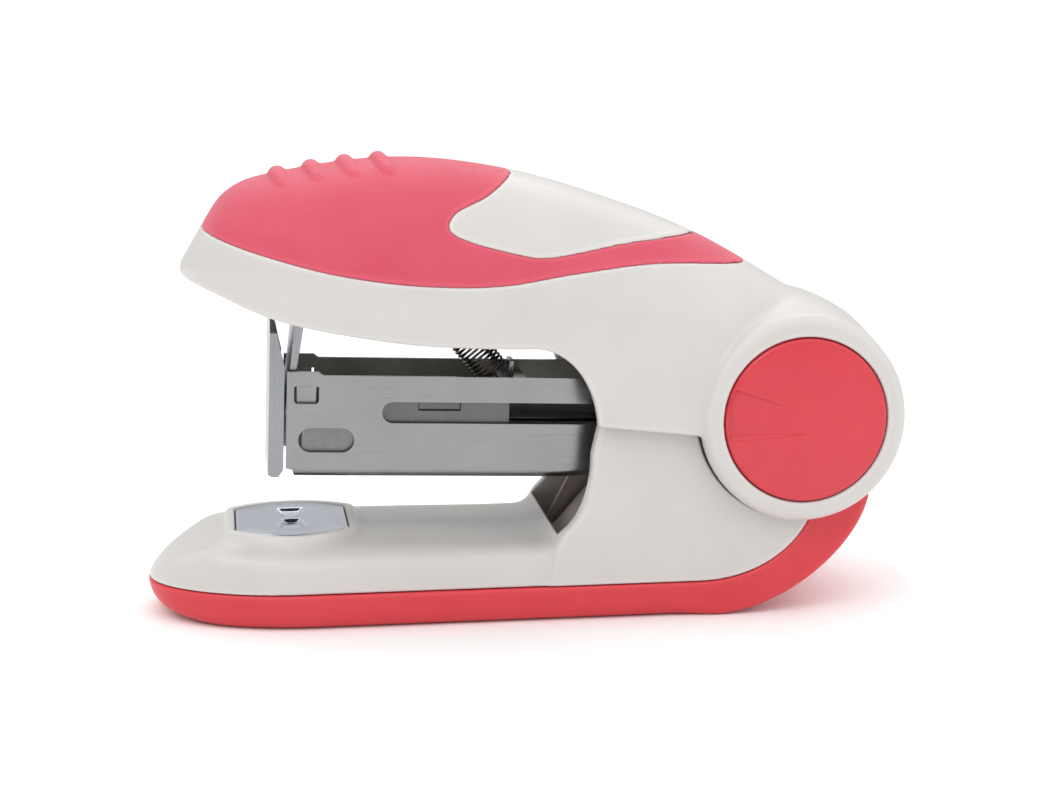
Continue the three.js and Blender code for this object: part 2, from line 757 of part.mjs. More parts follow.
// Domed cap with a bevelled rim, as a profile from its back face to its centre.
function hubCap(side) {
  const back = CAP_SEAT_Y + GAP;
  const profile = [
    [0, back],
    [CAP_R, back],
    [CAP_R, CAP_HALF - 0.9],
    [CAP_R - 0.5, CAP_HALF - 0.45],
    [CAP_R * 0.5, CAP_HALF - 0.1],
    [0, CAP_HALF],
  ];
  const geometry = new THREE.LatheGeometry(profile.map(([r, y]) => new THREE.Vector2(r, y)), 32);
  if (side < 0) geometry.rotateX(Math.PI);
  return toSolid(geometry.translate(PIVOT.x, 0, PIVOT.z));
}

// ---- assembly ----
const outerBody = handleBody(0);
const stapler = new THREE.Group();

const base = new THREE.Group();
base.add(
  node("base_sole", baseSole(), PINK_SOLE),
  node("base_cover", baseCover(), WHITE_ABS),
  node("base_frame", baseFrame(), SPRING_STEEL),
  node("anvil_plate", anvilPlate(), BRIGHT_STEEL),
  node("anvil_rivet", rivet(ANVIL_X, 0, ANVIL_TOP - ANVIL_T - 0.4, PLATE_Z - 0.4, 1.5, 1.7), BRIGHT_STEEL),
  node("lift_spring", liftSpring(), SPRING_STEEL),
  node("lift_spring_rivet", rivet(-3, 0, 7.8, PLATE_Z - 0.5, 1.2, 2.4), BRIGHT_STEEL),
  node("pivot_pin", pivotPin(), BRIGHT_STEEL),
  node("pin_clip", pinClip(), SPRING_STEEL),
);

const magazine = new THREE.Group();
magazine.position.set(PIVOT.x, 0, PIVOT.z);
magazine.rotation.y = MAG_TILT;
magazine.add(
  node("magazine_case", magazineCase(), BRIGHT_STEEL),
  node("front_plate", frontPlate(), BRIGHT_STEEL),
  node("staple_rail", stapleRail(), BRIGHT_STEEL),
  node("staple_strip", stapleStrip(), BRIGHT_STEEL),
  node("pusher", pusher(), BRIGHT_STEEL),
  node("pusher_spring", pusherSpring(), SPRING_STEEL),
  node("spring_bridge", springBridge(), BRIGHT_STEEL),
);

const handle = new THREE.Group();
handle.add(
  node("handle_shell", handleShell(outerBody), WHITE_ABS),
  node("grip_cover", gripCover(outerBody), PINK_GRIP),
  node("handle_frame", handleFrame(), SPRING_STEEL),
  node("driver_blade", driverBlade(), BRIGHT_STEEL),
  node("driver_rivet_left", rivet(-22, -3.2, 45, 41.6, 0.8, 1.8), BRIGHT_STEEL),
  node("driver_rivet_right", rivet(-22, 3.2, 45, 41.6, 0.8, 1.8), BRIGHT_STEEL),
  node("spring_pin", crossBar(SPRING_PIN.x, SPRING_PIN.z, 1, -10.6, 10.6, 16), BRIGHT_STEEL),
  node("handle_spring", handleSpring(), SPRING_STEEL),
  node("cap_left", hubCap(-1), PINK_GLOSS),
  node("cap_right", hubCap(1), PINK_GLOSS),
);

stapler.add(base, magazine, handle);

export default stapler;
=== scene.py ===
"""Mini half-strip stapler: the looks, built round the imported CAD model.

Lengths in this script are millimetres, and MM turns them into Blender's metres where a mesh is made.
X runs from the nose (-X) to the pivot (+X), Y is the width, and the sole rests on z = 0.
"""

import math

import bpy
import numpy as np
from mathutils import Matrix, Vector


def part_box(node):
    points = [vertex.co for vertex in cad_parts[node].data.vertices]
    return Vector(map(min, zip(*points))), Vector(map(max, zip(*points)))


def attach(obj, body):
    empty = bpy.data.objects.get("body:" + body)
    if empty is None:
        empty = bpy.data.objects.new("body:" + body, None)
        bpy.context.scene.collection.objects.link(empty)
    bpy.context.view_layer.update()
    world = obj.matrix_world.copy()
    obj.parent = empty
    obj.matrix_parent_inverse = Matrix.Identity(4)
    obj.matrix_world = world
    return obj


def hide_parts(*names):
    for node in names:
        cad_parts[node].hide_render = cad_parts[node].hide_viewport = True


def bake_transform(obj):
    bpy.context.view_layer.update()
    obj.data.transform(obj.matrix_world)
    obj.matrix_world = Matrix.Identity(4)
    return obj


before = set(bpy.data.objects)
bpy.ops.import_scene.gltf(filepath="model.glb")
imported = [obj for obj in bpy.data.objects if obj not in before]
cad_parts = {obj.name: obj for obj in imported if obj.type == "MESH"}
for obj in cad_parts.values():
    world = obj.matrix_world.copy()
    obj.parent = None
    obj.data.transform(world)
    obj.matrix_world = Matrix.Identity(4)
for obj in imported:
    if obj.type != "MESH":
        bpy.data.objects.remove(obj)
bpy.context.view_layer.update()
MM = 0.001


# ---- driving dimensions, the same as the CAD part's ----
def middle(node):
    low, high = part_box(node)
    return (low + high) / 2 / MM


PIVOT_X = middle("cap_left").x
PIVOT_Z = middle("cap_left").z
ANVIL_X = middle("anvil_plate").x
ANVIL_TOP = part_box("anvil_plate")[1].z / MM
COVER_HALF = 13.9
COVER_IN = 11.9
HANDLE_HALF = 16.3
HANDLE_WALL = 1.8
RING_HALF = 17.3
CAP_HALF = 17.9
HUB_R = 13.0
HUB_WALL = 1.7
HUB_CLEAR_R = 13.35
LIP_R = 14.4
LIP_ANGLE = -49
LIP_OPENING = 0.5
SEAM_END_ANGLE = -83
CAP_R = 10.3
CAP_SEAT_Y = 15.9
PIN_BORE_R = 2.3
BASE_NOSE_X = -47.5
BASE_NOSE_L = 21.5
SEAM_Z = 4.6
ARM_TOP_Z = 11.0
ARM_POWER = 3.2
CHANNEL_X = 4.2
HANDLE_NOSE_X = -42.3
HANDLE_NOSE_L = 20.0
HANDLE_END_X = 43.2
CROWN = 2.3
MAG_TILT = math.radians(2)
CASE_HALF = 7.4
CASE_WALL = 0.6
CASE_TOP = 3.3
CASE_BOTTOM = -9.6
CASE_FRONT = -64.0
STAPLE_HALF = 6.4
STAPLE_WIRE = 0.42
STAPLE_PITCH = 0.5
STAPLE_COUNT = 19
STRIP_FRONT = -62.0
PUSHER_L = 16.4
BLADE_HALF = 6.3
LEAF_HALF = 6.6
CROWN_Z = -2.6
VOXEL = 0.25


# ---- meshes ----
def mesh_object(name, points, faces):
    """A new object from points in millimetres."""
    mesh = bpy.data.meshes.new(name)
    mesh.from_pydata([tuple(c * MM for c in p) for p in points], [], faces)
    mesh.validate()
    piece = bpy.data.objects.new(name, mesh)
    bpy.context.scene.collection.objects.link(piece)
    return piece


def discard(piece):
    bpy.data.objects.remove(piece)


def bake(piece):
    """Replaces a piece's mesh by what its modifiers make of it."""
    bpy.context.view_layer.update()
    graph = bpy.context.evaluated_depsgraph_get()
    piece_mesh = bpy.data.meshes.new_from_object(piece.evaluated_get(graph))
    piece.modifiers.clear()
    piece.data = piece_mesh
    piece_mesh.name = piece.name
    return piece


def combine(piece, other, operation="DIFFERENCE"):
    """Boolean of two closed pieces. The other piece is used up."""
    cut = piece.modifiers.new("cut", "BOOLEAN")
    cut.solver = "MANIFOLD"
    cut.operation = operation
    cut.object = other
    bake(piece)
    discard(other)
    return piece


def without(piece, *cutters):
    for cutter in cutters:
        combine(piece, cutter)
    return piece


def union(piece, *others):
    for other in others:
        combine(piece, other, "UNION")
    return piece


def stretched(loop_a, loop_b):
    """Points and faces of a closed prism between two loops of the same number of points."""
    n = len(loop_a)
    sides = [(i, (i + 1) % n, n + (i + 1) % n, n + i) for i in range(n)]
    return loop_a + loop_b, [tuple(reversed(range(n))), tuple(range(n, 2 * n)), *sides]


def facing_out(piece):
    """Turns a closed piece's faces outwards, which booleans need."""
    mesh = piece.data
    mesh.calc_loop_triangles()
    volume = 0.0
    for triangle in mesh.loop_triangles:
        a, b, c = (mesh.vertices[i].co for i in triangle.vertices)
        volume += a.dot(b.cross(c))
    if volume < 0:
        mesh.flip_normals()
    return piece


def slab(name, outline, y0, y1):
    """A side-view outline in x and z, stretched across the width."""
    near = [(x, y0, z) for x, z in outline]
    far = [(x, y1, z) for x, z in outline]
    return facing_out(mesh_object(name, *stretched(near, far)))


def lengthwise(name, outline, x0, x1):
    """A cross-section in y and z, stretched along the length."""
    front = [(x0, y, z) for y, z in outline]
    rear = [(x1, y, z) for y, z in outline]
    return facing_out(mesh_object(name, *stretched(front, rear)))


def block(x0, x1, y0, y1, z0, z1):
    return slab("block", [(x0, z0), (x1, z0), (x1, z1), (x0, z1)], y0, y1)


def arc(x, z, radius, start, end, steps=24):
    """Points of an arc, with angles in degrees from +X towards +Z."""
    angles = [math.radians(start + (end - start) * i / steps) for i in range(steps + 1)]
    return [(x + radius * math.cos(a), z + radius * math.sin(a)) for a in angles]


def cross_bar(x, z, radius, y0, y1, sides):
    return slab("bar", arc(x, z, radius, 0, 360, sides)[:-1], y0, y1)


def lathe_y(name, profile, sides):
    """Turns a closed (radius, y) profile, which starts and ends on the axis, about the pivot line."""
    points, faces = [], []
    ring = [2 * math.pi * i / sides for i in range(sides)]
    inner = profile[1:-1]
    for radius, y in inner:
        points += [(PIVOT_X + radius * math.cos(a), y, PIVOT_Z + radius * math.sin(a)) for a in ring]
    for row in range(len(inner) - 1):
        for i in range(sides):
            j = (i + 1) % sides
            a, b = row * sides, (row + 1) * sides
            faces.append((a + i, a + j, b + j, b + i))
    start, end = len(points), len(points) + 1
    points += [(PIVOT_X, profile[0][1], PIVOT_Z), (PIVOT_X, profile[-1][1], PIVOT_Z)]
    last = (len(inner) - 1) * sides
    for i in range(sides):
        j = (i + 1) % sides
        faces.append((start, j, i))
        faces.append((end, last + i, last + j))
    return facing_out(mesh_object(name, points, faces))


def loft(name, rings, first, last):
    """Closed skin over rings of the same number of points, gathered to a point at each end."""
    around = len(rings[0])
    points = [p for ring in rings for p in ring] + [first, last]
    faces = []
    for row in range(len(rings) - 1):
        for i in range(around):
            j = (i + 1) % around
            a, b = row * around, (row + 1) * around
            faces.append((a + i, a + j, b + j, b + i))
    tail = (len(rings) - 1) * around
    for i in range(around):
        j = (i + 1) % around
        faces.append((len(points) - 2, j, i))
        faces.append((len(points) - 1, tail + i, tail + j))
    return facing_out(mesh_object(name, points, faces))


# ---- curves ----
def through(points):
    """Smooth height through a few (x, z) points, by cubic Hermite pieces."""
    def slope(i):
        before = points[max(i - 1, 0)]
        after = points[min(i + 1, len(points) - 1)]
        return (after[1] - before[1]) / (after[0] - before[0])

    def height(x):
        if x <= points[0][0]:
            return points[0][1]
        if x >= points[-1][0]:
            return points[-1][1]
        i = next(k for k, p in enumerate(points) if p[0] > x) - 1
        (x0, z0), (x1, z1) = points[i], points[i + 1]
        span = x1 - x0
        t = (x - x0) / span
        bend = (1 - t) ** 2 * t * slope(i) - (1 - t) * t * t * slope(i + 1)
        return z0 + (z1 - z0) * t * t * (3 - 2 * t) + span * bend

    return height


def spline(points, steps=12):
    """Catmull-Rom curve through the points, without its first point."""
    ends = [points[0], *points, points[-1]]
    made = []
    for a, b, c, d in zip(ends, ends[1:], ends[2:], ends[3:]):
        for k in range(1, steps + 1):
            t = k / steps
            made.append(tuple(
                0.5 * (
                    2 * q + (r - p) * t + (2 * p - 5 * q + 4 * r - s) * t * t
                    + (3 * q - p - 3 * r + s) * t ** 3
                )
                for p, q, r, s in zip(a, b, c, d)
            ))
    return made


def bezier(a, b, c, d, steps=20):
    """Cubic Bezier curve, without its first point."""
    made = []
    for k in range(1, steps + 1):
        t = k / steps
        u = 1 - t
        made.append(tuple(
            u ** 3 * p + 3 * u * u * t * q + 3 * u * t * t * r + t ** 3 * s for p, q, r, s in zip(a, b, c, d)
        ))
    return made


def nose_half_width(x, nose_x, length, half, power):
    t = min(max((nose_x + length - x) / length, 0), 1)
    return half * (1 - t ** power) ** (1 / power)


def nose_plan(nose_x, length, half, rear_x, steps=60):
    side = [
        (nose_x + length - length * math.cos(a), half * math.sin(a))
        for a in (math.pi / 2 * i / steps for i in range(steps + 1))
    ]
    side.append((rear_x, half))
    return side + [(x, -y) for x, y in reversed(side[1:])]


def smooth_by_angle(piece, degrees):
    piece.data.shade_smooth()
    piece.data.set_sharp_from_angle(angle=math.radians(degrees))
    return piece


def bevelled(piece, width, segments, degrees):
    bevel = piece.modifiers.new("edge", "BEVEL")
    bevel.width = width * MM
    bevel.segments = segments
    bevel.limit_method = "ANGLE"
    bevel.angle_limit = math.radians(degrees)
    piece.data.shade_smooth()
    weighted = piece.modifiers.new("normals", "WEIGHTED_NORMAL")
    weighted.keep_sharp = False
    weighted.weight = 100
    return bake(piece)


def place(piece, body, slot, material, *nodes):
    """Gives a finished piece its material and its body, and hides the CAD nodes it stands for; the slot
    argument is not used.
    """
    piece.data.materials.clear()
    piece.data.materials.append(material)
    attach(piece, body)
    if nodes:
        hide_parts(*nodes)
    return piece


# ---- moulded shapes, as signed distances on an even grid ----
class Volume:
    """An even grid of points in millimetres. Shapes on it are arrays of signed distance, negative inside."""

    def __init__(self, low, high, step):
        self.low = np.array(low, float)
        self.step = step
        self.counts = [int((b - a) / step) + 1 for a, b in zip(low, high)]
        axes = [a + step * np.arange(n, dtype=np.float32) for a, n in zip(low, self.counts)]
        self.x = axes[0][:, None, None]
        self.y = axes[1][None, :, None]
        self.z = axes[2][None, None, :]
        self.side = np.abs(self.y)

    def outline(self, points, plan=False):
        """Distance to an outline in x and z, or in x and y for a plan."""
        first, second = self.x[:, 0, 0][:, None], (self.y[0, :, 0] if plan else self.z[0, 0, :])[None, :]
        far = np.full((first.size, second.size), 1e9, np.float32)
        inside = np.zeros(far.shape, bool)
        for (ax, ay), (bx, by) in zip(points, points[1:] + points[:1]):
            dx, dy = bx - ax, by - ay
            length = dx * dx + dy * dy
            if length < 1e-12:
                continue
            along = np.clip(((first - ax) * dx + (second - ay) * dy) / length, 0, 1)
            far = np.minimum(far, (first - ax - along * dx) ** 2 + (second - ay - along * dy) ** 2)
            if abs(dy) > 1e-9:
                crosses = ((second >= ay) != (second >= by)) & (first < ax + (second - ay) * dx / dy)
                inside ^= crosses
        flat = np.where(inside, -1, 1) * np.sqrt(far)
        return (flat[:, :, None] if plan else flat[:, None, :]).astype(np.float32)

    def bar(self, x, z, radius):
        """Endless round bar across the width."""
        return np.sqrt((self.x - x) ** 2 + (self.z - z) ** 2) - radius

    def between(self, near, far):
        """Distance to the two layers from near to far either side of the middle."""
        return np.maximum(near - self.side, self.side - far)

    def distance(self, ratio):
        """Distance to where a ratio field is 1, to first order."""
        slopes = np.gradient(ratio, self.step)
        steep = np.sqrt(sum(slope ** 2 for slope in slopes))
        return ((ratio - 1) / np.maximum(steep, 0.02)).astype(np.float32)

    def full(self, field):
        return np.ascontiguousarray(np.broadcast_to(field, self.counts).astype(np.float32))


def cut_off(a, b, soft):
    """Where both shapes are, with its new edges rounded over about this width."""
    near = np.maximum(soft - np.abs(a - b), 0) / soft
    return np.maximum(a, b) + near * near * soft / 4


def joined(a, b, soft):
    """Where either shape is, with a fillet of about this width."""
    return -cut_off(-a, -b, soft)


def sampled(field, places):
    """Values of a grid, or of a stack of grids, at places given in grid steps."""
    base = np.clip(places.astype(int), 0, np.array(field.shape[:3]) - 2)
    share = places - base
    total = 0
    for corner in np.ndindex(2, 2, 2):
        weight = np.prod(np.where(corner, share, 1 - share), axis=1)
        value = field[base[:, 0] + corner[0], base[:, 1] + corner[1], base[:, 2] + corner[2]]
        total = total + (weight[:, None] * value if value.ndim == 2 else weight * value)
    return total


def skin(field):
    """Points, in grid steps, and four-sided faces of the surface where a grid crosses zero."""
    inside = field < 0
    parts = [slice(None, -1), slice(1, None)]
    held = sum(inside[parts[i], parts[j], parts[k]].astype(np.int8) for i, j, k in np.ndindex(2, 2, 2))
    cells = np.argwhere((held > 0) & (held < 8))
    number = np.full(held.shape, -1, np.int32)
    number[tuple(cells.T)] = np.arange(len(cells))
    total, count = np.zeros((len(cells), 3)), np.zeros(len(cells))
    for corner in np.ndindex(2, 2, 2):
        for axis in range(3):
            if corner[axis]:
                continue
            start, end = cells + corner, cells + corner
            end = end + np.eye(3, dtype=int)[axis]
            f0, f1 = field[tuple(start.T)], field[tuple(end.T)]
            crossing = (f0 < 0) != (f1 < 0)
            place = np.array(corner, float)[None, :].repeat(len(cells), 0)
            place[:, axis] += f0 / np.where(crossing, f0 - f1, 1)
            total += place * crossing[:, None]
            count += crossing
    points = cells + total / count[:, None]
    faces = []
    for axis in range(3):
        b, c = (axis + 1) % 3, (axis + 2) % 3
        ahead = [slice(1, -1)] * 3
        ahead[axis] = slice(0, -1)
        beyond = list(ahead)
        beyond[axis] = slice(1, None)
        here, there = inside[tuple(ahead)], inside[tuple(beyond)]
        for leaving in (True, False):
            edges = np.argwhere((here == leaving) & (there != leaving))
            edges[:, b] += 1
            edges[:, c] += 1
            ring = []
            for db, dc in ((0, 0), (1, 0), (1, 1), (0, 1)):
                cell = edges.copy()
                cell[:, b] -= db
                cell[:, c] -= dc
                ring.append(number[tuple(cell.T)])
            faces.append(np.stack(ring if leaving else ring[::-1], axis=1))
    return points, np.concatenate(faces)


def moulded(name, volume, field, most_faces=180000):
    """The surface of a shape on the grid, as a piece whose normals and wear mark come from the shape."""
    field = volume.full(field)
    points, quads = skin(field)
    mesh = bpy.data.meshes.new(name)
    mesh.from_pydata(((volume.low + points * volume.step) * MM).tolist(), [], quads.tolist())
    piece = bpy.data.objects.new(name, mesh)
    bpy.context.scene.collection.objects.link(piece)
    if 2 * len(quads) > most_faces:
        thin = piece.modifiers.new("thin", "DECIMATE")
        thin.ratio = most_faces / (2 * len(quads))
        bake(piece)
    slopes = np.stack(np.gradient(field), axis=-1)
    size = len(piece.data.vertices)
    places = np.empty(size * 3)
    piece.data.vertices.foreach_get("co", places)
    places = (places.reshape(-1, 3) / MM - volume.low) / volume.step
    for _ in range(2):
        slope = sampled(slopes, places)
        away = sampled(field, places) / np.maximum((slope ** 2).sum(1), 0.1 * volume.step ** 2)
        places -= np.clip(away, -1, 1)[:, None] * slope
    piece.data.vertices.foreach_set("co", ((volume.low + places * volume.step) * MM).ravel())
    slope = sampled(slopes, places)
    normals = slope / np.maximum(np.linalg.norm(slope, axis=1), 1e-9)[:, None]
    bending = sum(np.gradient(slopes[..., axis], axis=axis) for axis in range(3)) / volume.step ** 2
    wear = piece.data.attributes.new("wear", "FLOAT", "POINT")
    wear.data.foreach_set("value", np.clip(sampled(bending, places) - 0.25, 0, 1.5).astype(np.float32) / 1.5)
    piece.data.shade_smooth()
    piece.data.normals_split_custom_set_from_vertices(normals.tolist())
    piece.data.update()
    return piece


# ---- materials ----
def linear(red, green, blue):
    """An sRGB colour, 0 to 255, as the linear colour that Blender works in."""
    def channel(c):
        c /= 255
        return c / 12.92 if c <= 0.04045 else ((c + 0.055) / 1.055) ** 2.4

    return (channel(red), channel(green), channel(blue), 1.0)


class Shader:
    """A Principled material, with short ways to add noise, bump and edge wear to it."""

    def __init__(self, name, **settings):
        self.material = bpy.data.materials.new(name)
        self.material.use_nodes = True
        self.tree = self.material.node_tree
        self.main = self.tree.nodes["Principled BSDF"]
        for key, value in settings.items():
            self.main.inputs[key.replace("_", " ")].default_value = value
        self.where = self.tree.nodes.new("ShaderNodeTexCoord").outputs["Object"]

    def node(self, kind, **settings):
        made = self.tree.nodes.new(kind)
        for key, value in settings.items():
            setattr(made, key, value)
        return made

    def link(self, output, socket):
        self.tree.links.new(output, socket)

    def noise(self, size, stretch=(1, 1, 1), detail=3.0, shift=0.0):
        """Noise with features about this many millimetres across, drawn out along an axis by its stretch."""
        mapping = self.node("ShaderNodeMapping")
        mapping.inputs["Scale"].default_value = [1 / (size * MM * s) for s in stretch]
        mapping.inputs["Location"].default_value = (shift, shift, shift)
        self.link(self.where, mapping.inputs["Vector"])
        noise = self.node("ShaderNodeTexNoise")
        noise.inputs["Scale"].default_value = 1.0
        noise.inputs["Detail"].default_value = detail
        self.link(mapping.outputs["Vector"], noise.inputs["Vector"])
        return noise.outputs["Fac"]

    def spread(self, value, low, high, from_low=0.3, from_high=0.7):
        """Maps a 0 to 1 value onto a range."""
        ramp = self.node("ShaderNodeMapRange")
        ramp.inputs["From Min"].default_value = from_low
        ramp.inputs["From Max"].default_value = from_high
        ramp.inputs["To Min"].default_value = low
        ramp.inputs["To Max"].default_value = high
        self.link(value, ramp.inputs["Value"])
        return ramp.outputs["Result"]

    def blend_colours(self, share, first, second):
        mix = self.node("ShaderNodeMix", data_type="RGBA")
        self.link(share, mix.inputs["Factor"])
        for socket, colour in ((mix.inputs["A"], first), (mix.inputs["B"], second)):
            if isinstance(colour, tuple):
                socket.default_value = colour
            else:
                self.link(colour, socket)
        return mix.outputs["Result"]

    def edges(self):
        """1 on sharp outside edges, 0 on flat faces, from the mark that a moulded piece carries."""
        wear = self.node("ShaderNodeAttribute", attribute_name="wear")
        return self.spread(wear.outputs["Fac"], 0.0, 1.0, 0, 1)

    def colour(self, value):
        self.link(value, self.main.inputs["Base Color"])

    def roughness(self, value):
        self.link(value, self.main.inputs["Roughness"])

    def bump(self, *heights):
        """Each height is (value, strength, depth in millimetres)."""
        normal = None
        for value, strength, depth in heights:
            bump = self.node("ShaderNodeBump")
            bump.inputs["Strength"].default_value = strength
            bump.inputs["Distance"].default_value = depth * MM
            self.link(value, bump.inputs["Height"])
            if normal is not None:
                self.link(normal, bump.inputs["Normal"])
            normal = bump.outputs["Normal"]
        self.link(normal, self.main.inputs["Normal"])


def moulded_plastic(name, colour, darker, rough, grain, coat=0.0, mottle=0.025):
    """Injection-moulded plastic: cloudy tint, fine spark-eroded grain, and edges rubbed paler."""
    shader = Shader(name, Coat_Weight=coat, Coat_Roughness=0.12)
    shader.main.inputs["IOR"].default_value = 1.5
    cloud = shader.spread(shader.noise(9.0, detail=2.0), 0.0, 1.0)
    tint = shader.blend_colours(cloud, colour, darker)
    rubbed = tuple(min(1.0, c * 1.06 + 0.01) for c in colour[:3]) + (1.0,)
    shader.colour(shader.blend_colours(shader.edges(), tint, rubbed))
    shader.roughness(shader.spread(shader.noise(3.0, detail=1.0, shift=3.0), rough - mottle, rough + mottle))
    shader.bump(
        (shader.noise(0.16, detail=2.0, shift=7.0), grain, 0.012),
        (shader.noise(14.0, detail=1.0, shift=11.0), 0.05, 0.2),
    )
    return shader.material


def soft_rubber(name, colour, darker):
    """Soft overmoulded rubber: matte, with a fine leathery grain and a faint dusty sheen."""
    shader = Shader(name, Sheen_Weight=0.12, Sheen_Roughness=0.45)
    shader.main.inputs["IOR"].default_value = 1.46
    shader.main.inputs["Sheen Tint"].default_value = (1.0, 0.78, 0.82, 1.0)
    cloud = shader.spread(shader.noise(6.0, detail=3.0), 0.0, 1.0)
    tint = shader.blend_colours(cloud, colour, darker)
    worn = tuple(min(1.0, c * 1.05 + 0.015) for c in colour[:3]) + (1.0,)
    shader.colour(shader.blend_colours(shader.edges(), tint, worn))
    shader.roughness(shader.spread(shader.noise(0.9, shift=5.0), 0.5, 0.62))
    pores = shader.node("ShaderNodeTexVoronoi", feature="SMOOTH_F1")
    pores.inputs["Scale"].default_value = 1 / (0.42 * MM)
    shader.link(shader.where, pores.inputs["Vector"])
    shader.bump(
        (pores.outputs["Distance"], 0.10, 0.03),
        (shader.noise(0.14, detail=4.0, shift=2.0), 0.12, 0.015),
    )
    return shader.material


def steel(name, colour, darker, rough, stretch, metal=1.0):
    """Rolled sheet or drawn wire: fine streaks along the rolling direction, stains and paler cut edges."""
    shader = Shader(name, Metallic=metal)
    streaks = shader.noise(0.22, stretch, detail=4.0)
    stains = shader.noise(5.0, detail=3.0, shift=4.0)
    tint = shader.blend_colours(shader.spread(stains, 0.0, 1.0), colour, darker)
    bare = tuple(min(1.0, c * 1.12) for c in colour[:3]) + (1.0,)
    shader.colour(shader.blend_colours(shader.edges(), tint, bare))
    shader.roughness(shader.spread(streaks, rough - 0.05, rough + 0.07))
    shader.bump((streaks, 0.05, 0.004), (shader.noise(11.0, detail=1.0, shift=9.0), 0.05, 0.04))
    return shader.material


WHITE = moulded_plastic("white_plastic", linear(204, 201, 198), linear(200, 197, 193), 0.34, 0.08)
CAP = moulded_plastic(
    "cap_plastic", linear(206, 48, 62), linear(203, 45, 59), 0.28, 0.005, coat=0.2, mottle=0.002,
)
SOLE = moulded_plastic("sole_plastic", linear(209, 53, 63), linear(204, 49, 59), 0.36, 0.08)
GRIP = soft_rubber("soft_grip", linear(206, 76, 96), linear(202, 70, 90))
ALONG_X = (40, 1, 1)
ALONG_Z = (1, 1, 40)
SHEET = steel("bright_steel", linear(148, 148, 149), linear(143, 143, 144), 0.2, ALONG_X)
PLATE = steel("bright_steel_upright", linear(152, 154, 158), linear(146, 148, 152), 0.26, ALONG_Z)
# Lighter, half-metallic copy of the case steel for the channel's inside faces: painted light that brightens
# the shaded inside.
CASE_INSIDE_PAINTED_LIGHT = steel("case_inside_painted_light", linear(186, 184, 178), linear(160, 158, 152), 0.45, ALONG_X, metal=0.5)
# Lightened steel in the pinkish-brown colour of a shaded area, for the frames, the clip and the lift leaf:
# painted light for the shaded jaw.
INNER_STEEL_PAINTED_LIGHT = steel("spring_steel", linear(178, 166, 161), linear(160, 149, 145), 0.36, ALONG_X, metal=0.4)
WIRE = steel("spring_wire", linear(128, 124, 118), linear(112, 108, 103), 0.28, (1, 1, 1))
ANVIL_STEEL = steel("anvil_steel", linear(190, 194, 204), linear(182, 186, 197), 0.16, (1, 1, 1))
PUSHER = steel("pusher_steel", linear(112, 113, 114), linear(106, 107, 108), 0.36, (1, 1, 1))
STAPLES = steel("staple_wire", linear(136, 137, 139), linear(132, 133, 135), 0.35, ALONG_Z)


# ---- stage, light and camera ----
def softbox(name, place, aim, width, height, watts):
    light = bpy.data.lights.new(name, "AREA")
    light.shape = "RECTANGLE"
    light.size = width
    light.size_y = height
    light.energy = watts
    lamp = bpy.data.objects.new(name, light)
    bpy.context.scene.collection.objects.link(lamp)
    lamp.location = place
    lamp.rotation_euler = (Vector(aim) - Vector(place)).to_track_quat("-Z", "Y").to_euler()


def studio():
    """A pale floor without a visible edge, a bright dome, and three softboxes."""
    half = 30.0
    corners = [(-half, -half, 0), (half, -half, 0), (half, half, 0), (-half, half, 0)]
    mesh = bpy.data.meshes.new("floor")
    mesh.from_pydata(corners, [], [(0, 1, 2, 3)])
    floor = bpy.data.objects.new("floor", mesh)
    bpy.context.scene.collection.objects.link(floor)
    paper = Shader("floor_paper", Roughness=0.9)
    paper.main.inputs["Specular IOR Level"].default_value = 0.15
    paper.colour(paper.blend_colours(
        paper.spread(paper.noise(3.0), 0.0, 1.0), linear(253, 253, 253), linear(251, 251, 251),
    ))
    mesh.materials.append(paper.material)

    world = bpy.data.worlds.new("studio")
    bpy.context.scene.world = world
    world.use_nodes = True
    nodes, links = world.node_tree.nodes, world.node_tree.links
    where = nodes.new("ShaderNodeTexCoord")
    split = nodes.new("ShaderNodeSeparateXYZ")
    ramp = nodes.new("ShaderNodeValToRGB")
    links.new(where.outputs["Generated"], split.inputs["Vector"])
    links.new(split.outputs["Z"], ramp.inputs["Fac"])
    links.new(ramp.outputs["Color"], nodes["Background"].inputs["Color"])
    shades = ((0.0, 0.42), (0.12, 0.56), (0.35, 0.85), (1.0, 1.5))
    elements = ramp.color_ramp.elements
    while len(elements) < len(shades):
        elements.new(0.5)
    for element, (height, shade) in zip(elements, shades):
        element.position = height
        element.color = (shade, shade, shade, 1)
    nodes["Background"].inputs["Strength"].default_value = 1.0

    softbox("key", (-0.45, -0.55, 0.75), (0, 0, 0.03), 0.6, 0.6, 1.6)
    softbox("fill", (0.75, -0.5, 0.35), (0.02, 0, 0.03), 0.5, 0.5, 0.7)
    softbox("back", (0.1, 0.7, 0.7), (0, 0, 0.03), 0.8, 0.4, 1.0)


def main_camera():
    """Camera level with the magazine, a little to the nose's side and above."""
    azimuth = math.radians(-8)
    elevation = math.radians(10.5)
    distance = 0.285
    target = Vector((1.9, 0, 26.8)) * MM
    level = math.cos(elevation)
    away = Vector((math.sin(azimuth) * level, -math.cos(azimuth) * level, math.sin(elevation)))
    camera = bpy.data.cameras.new("camera")
    camera.sensor_width = 36
    camera.lens = 74.97
    camera.clip_start = 0.01
    camera.clip_end = 200
    eye = bpy.data.objects.new("camera", camera)
    bpy.context.scene.collection.objects.link(eye)
    eye.location = target + away * distance
    eye.rotation_euler = (-away).to_track_quat("-Z", "Y").to_euler()
    bpy.context.scene.camera = eye


studio()
main_camera()
bpy.context.scene.view_settings.view_transform = "Standard"


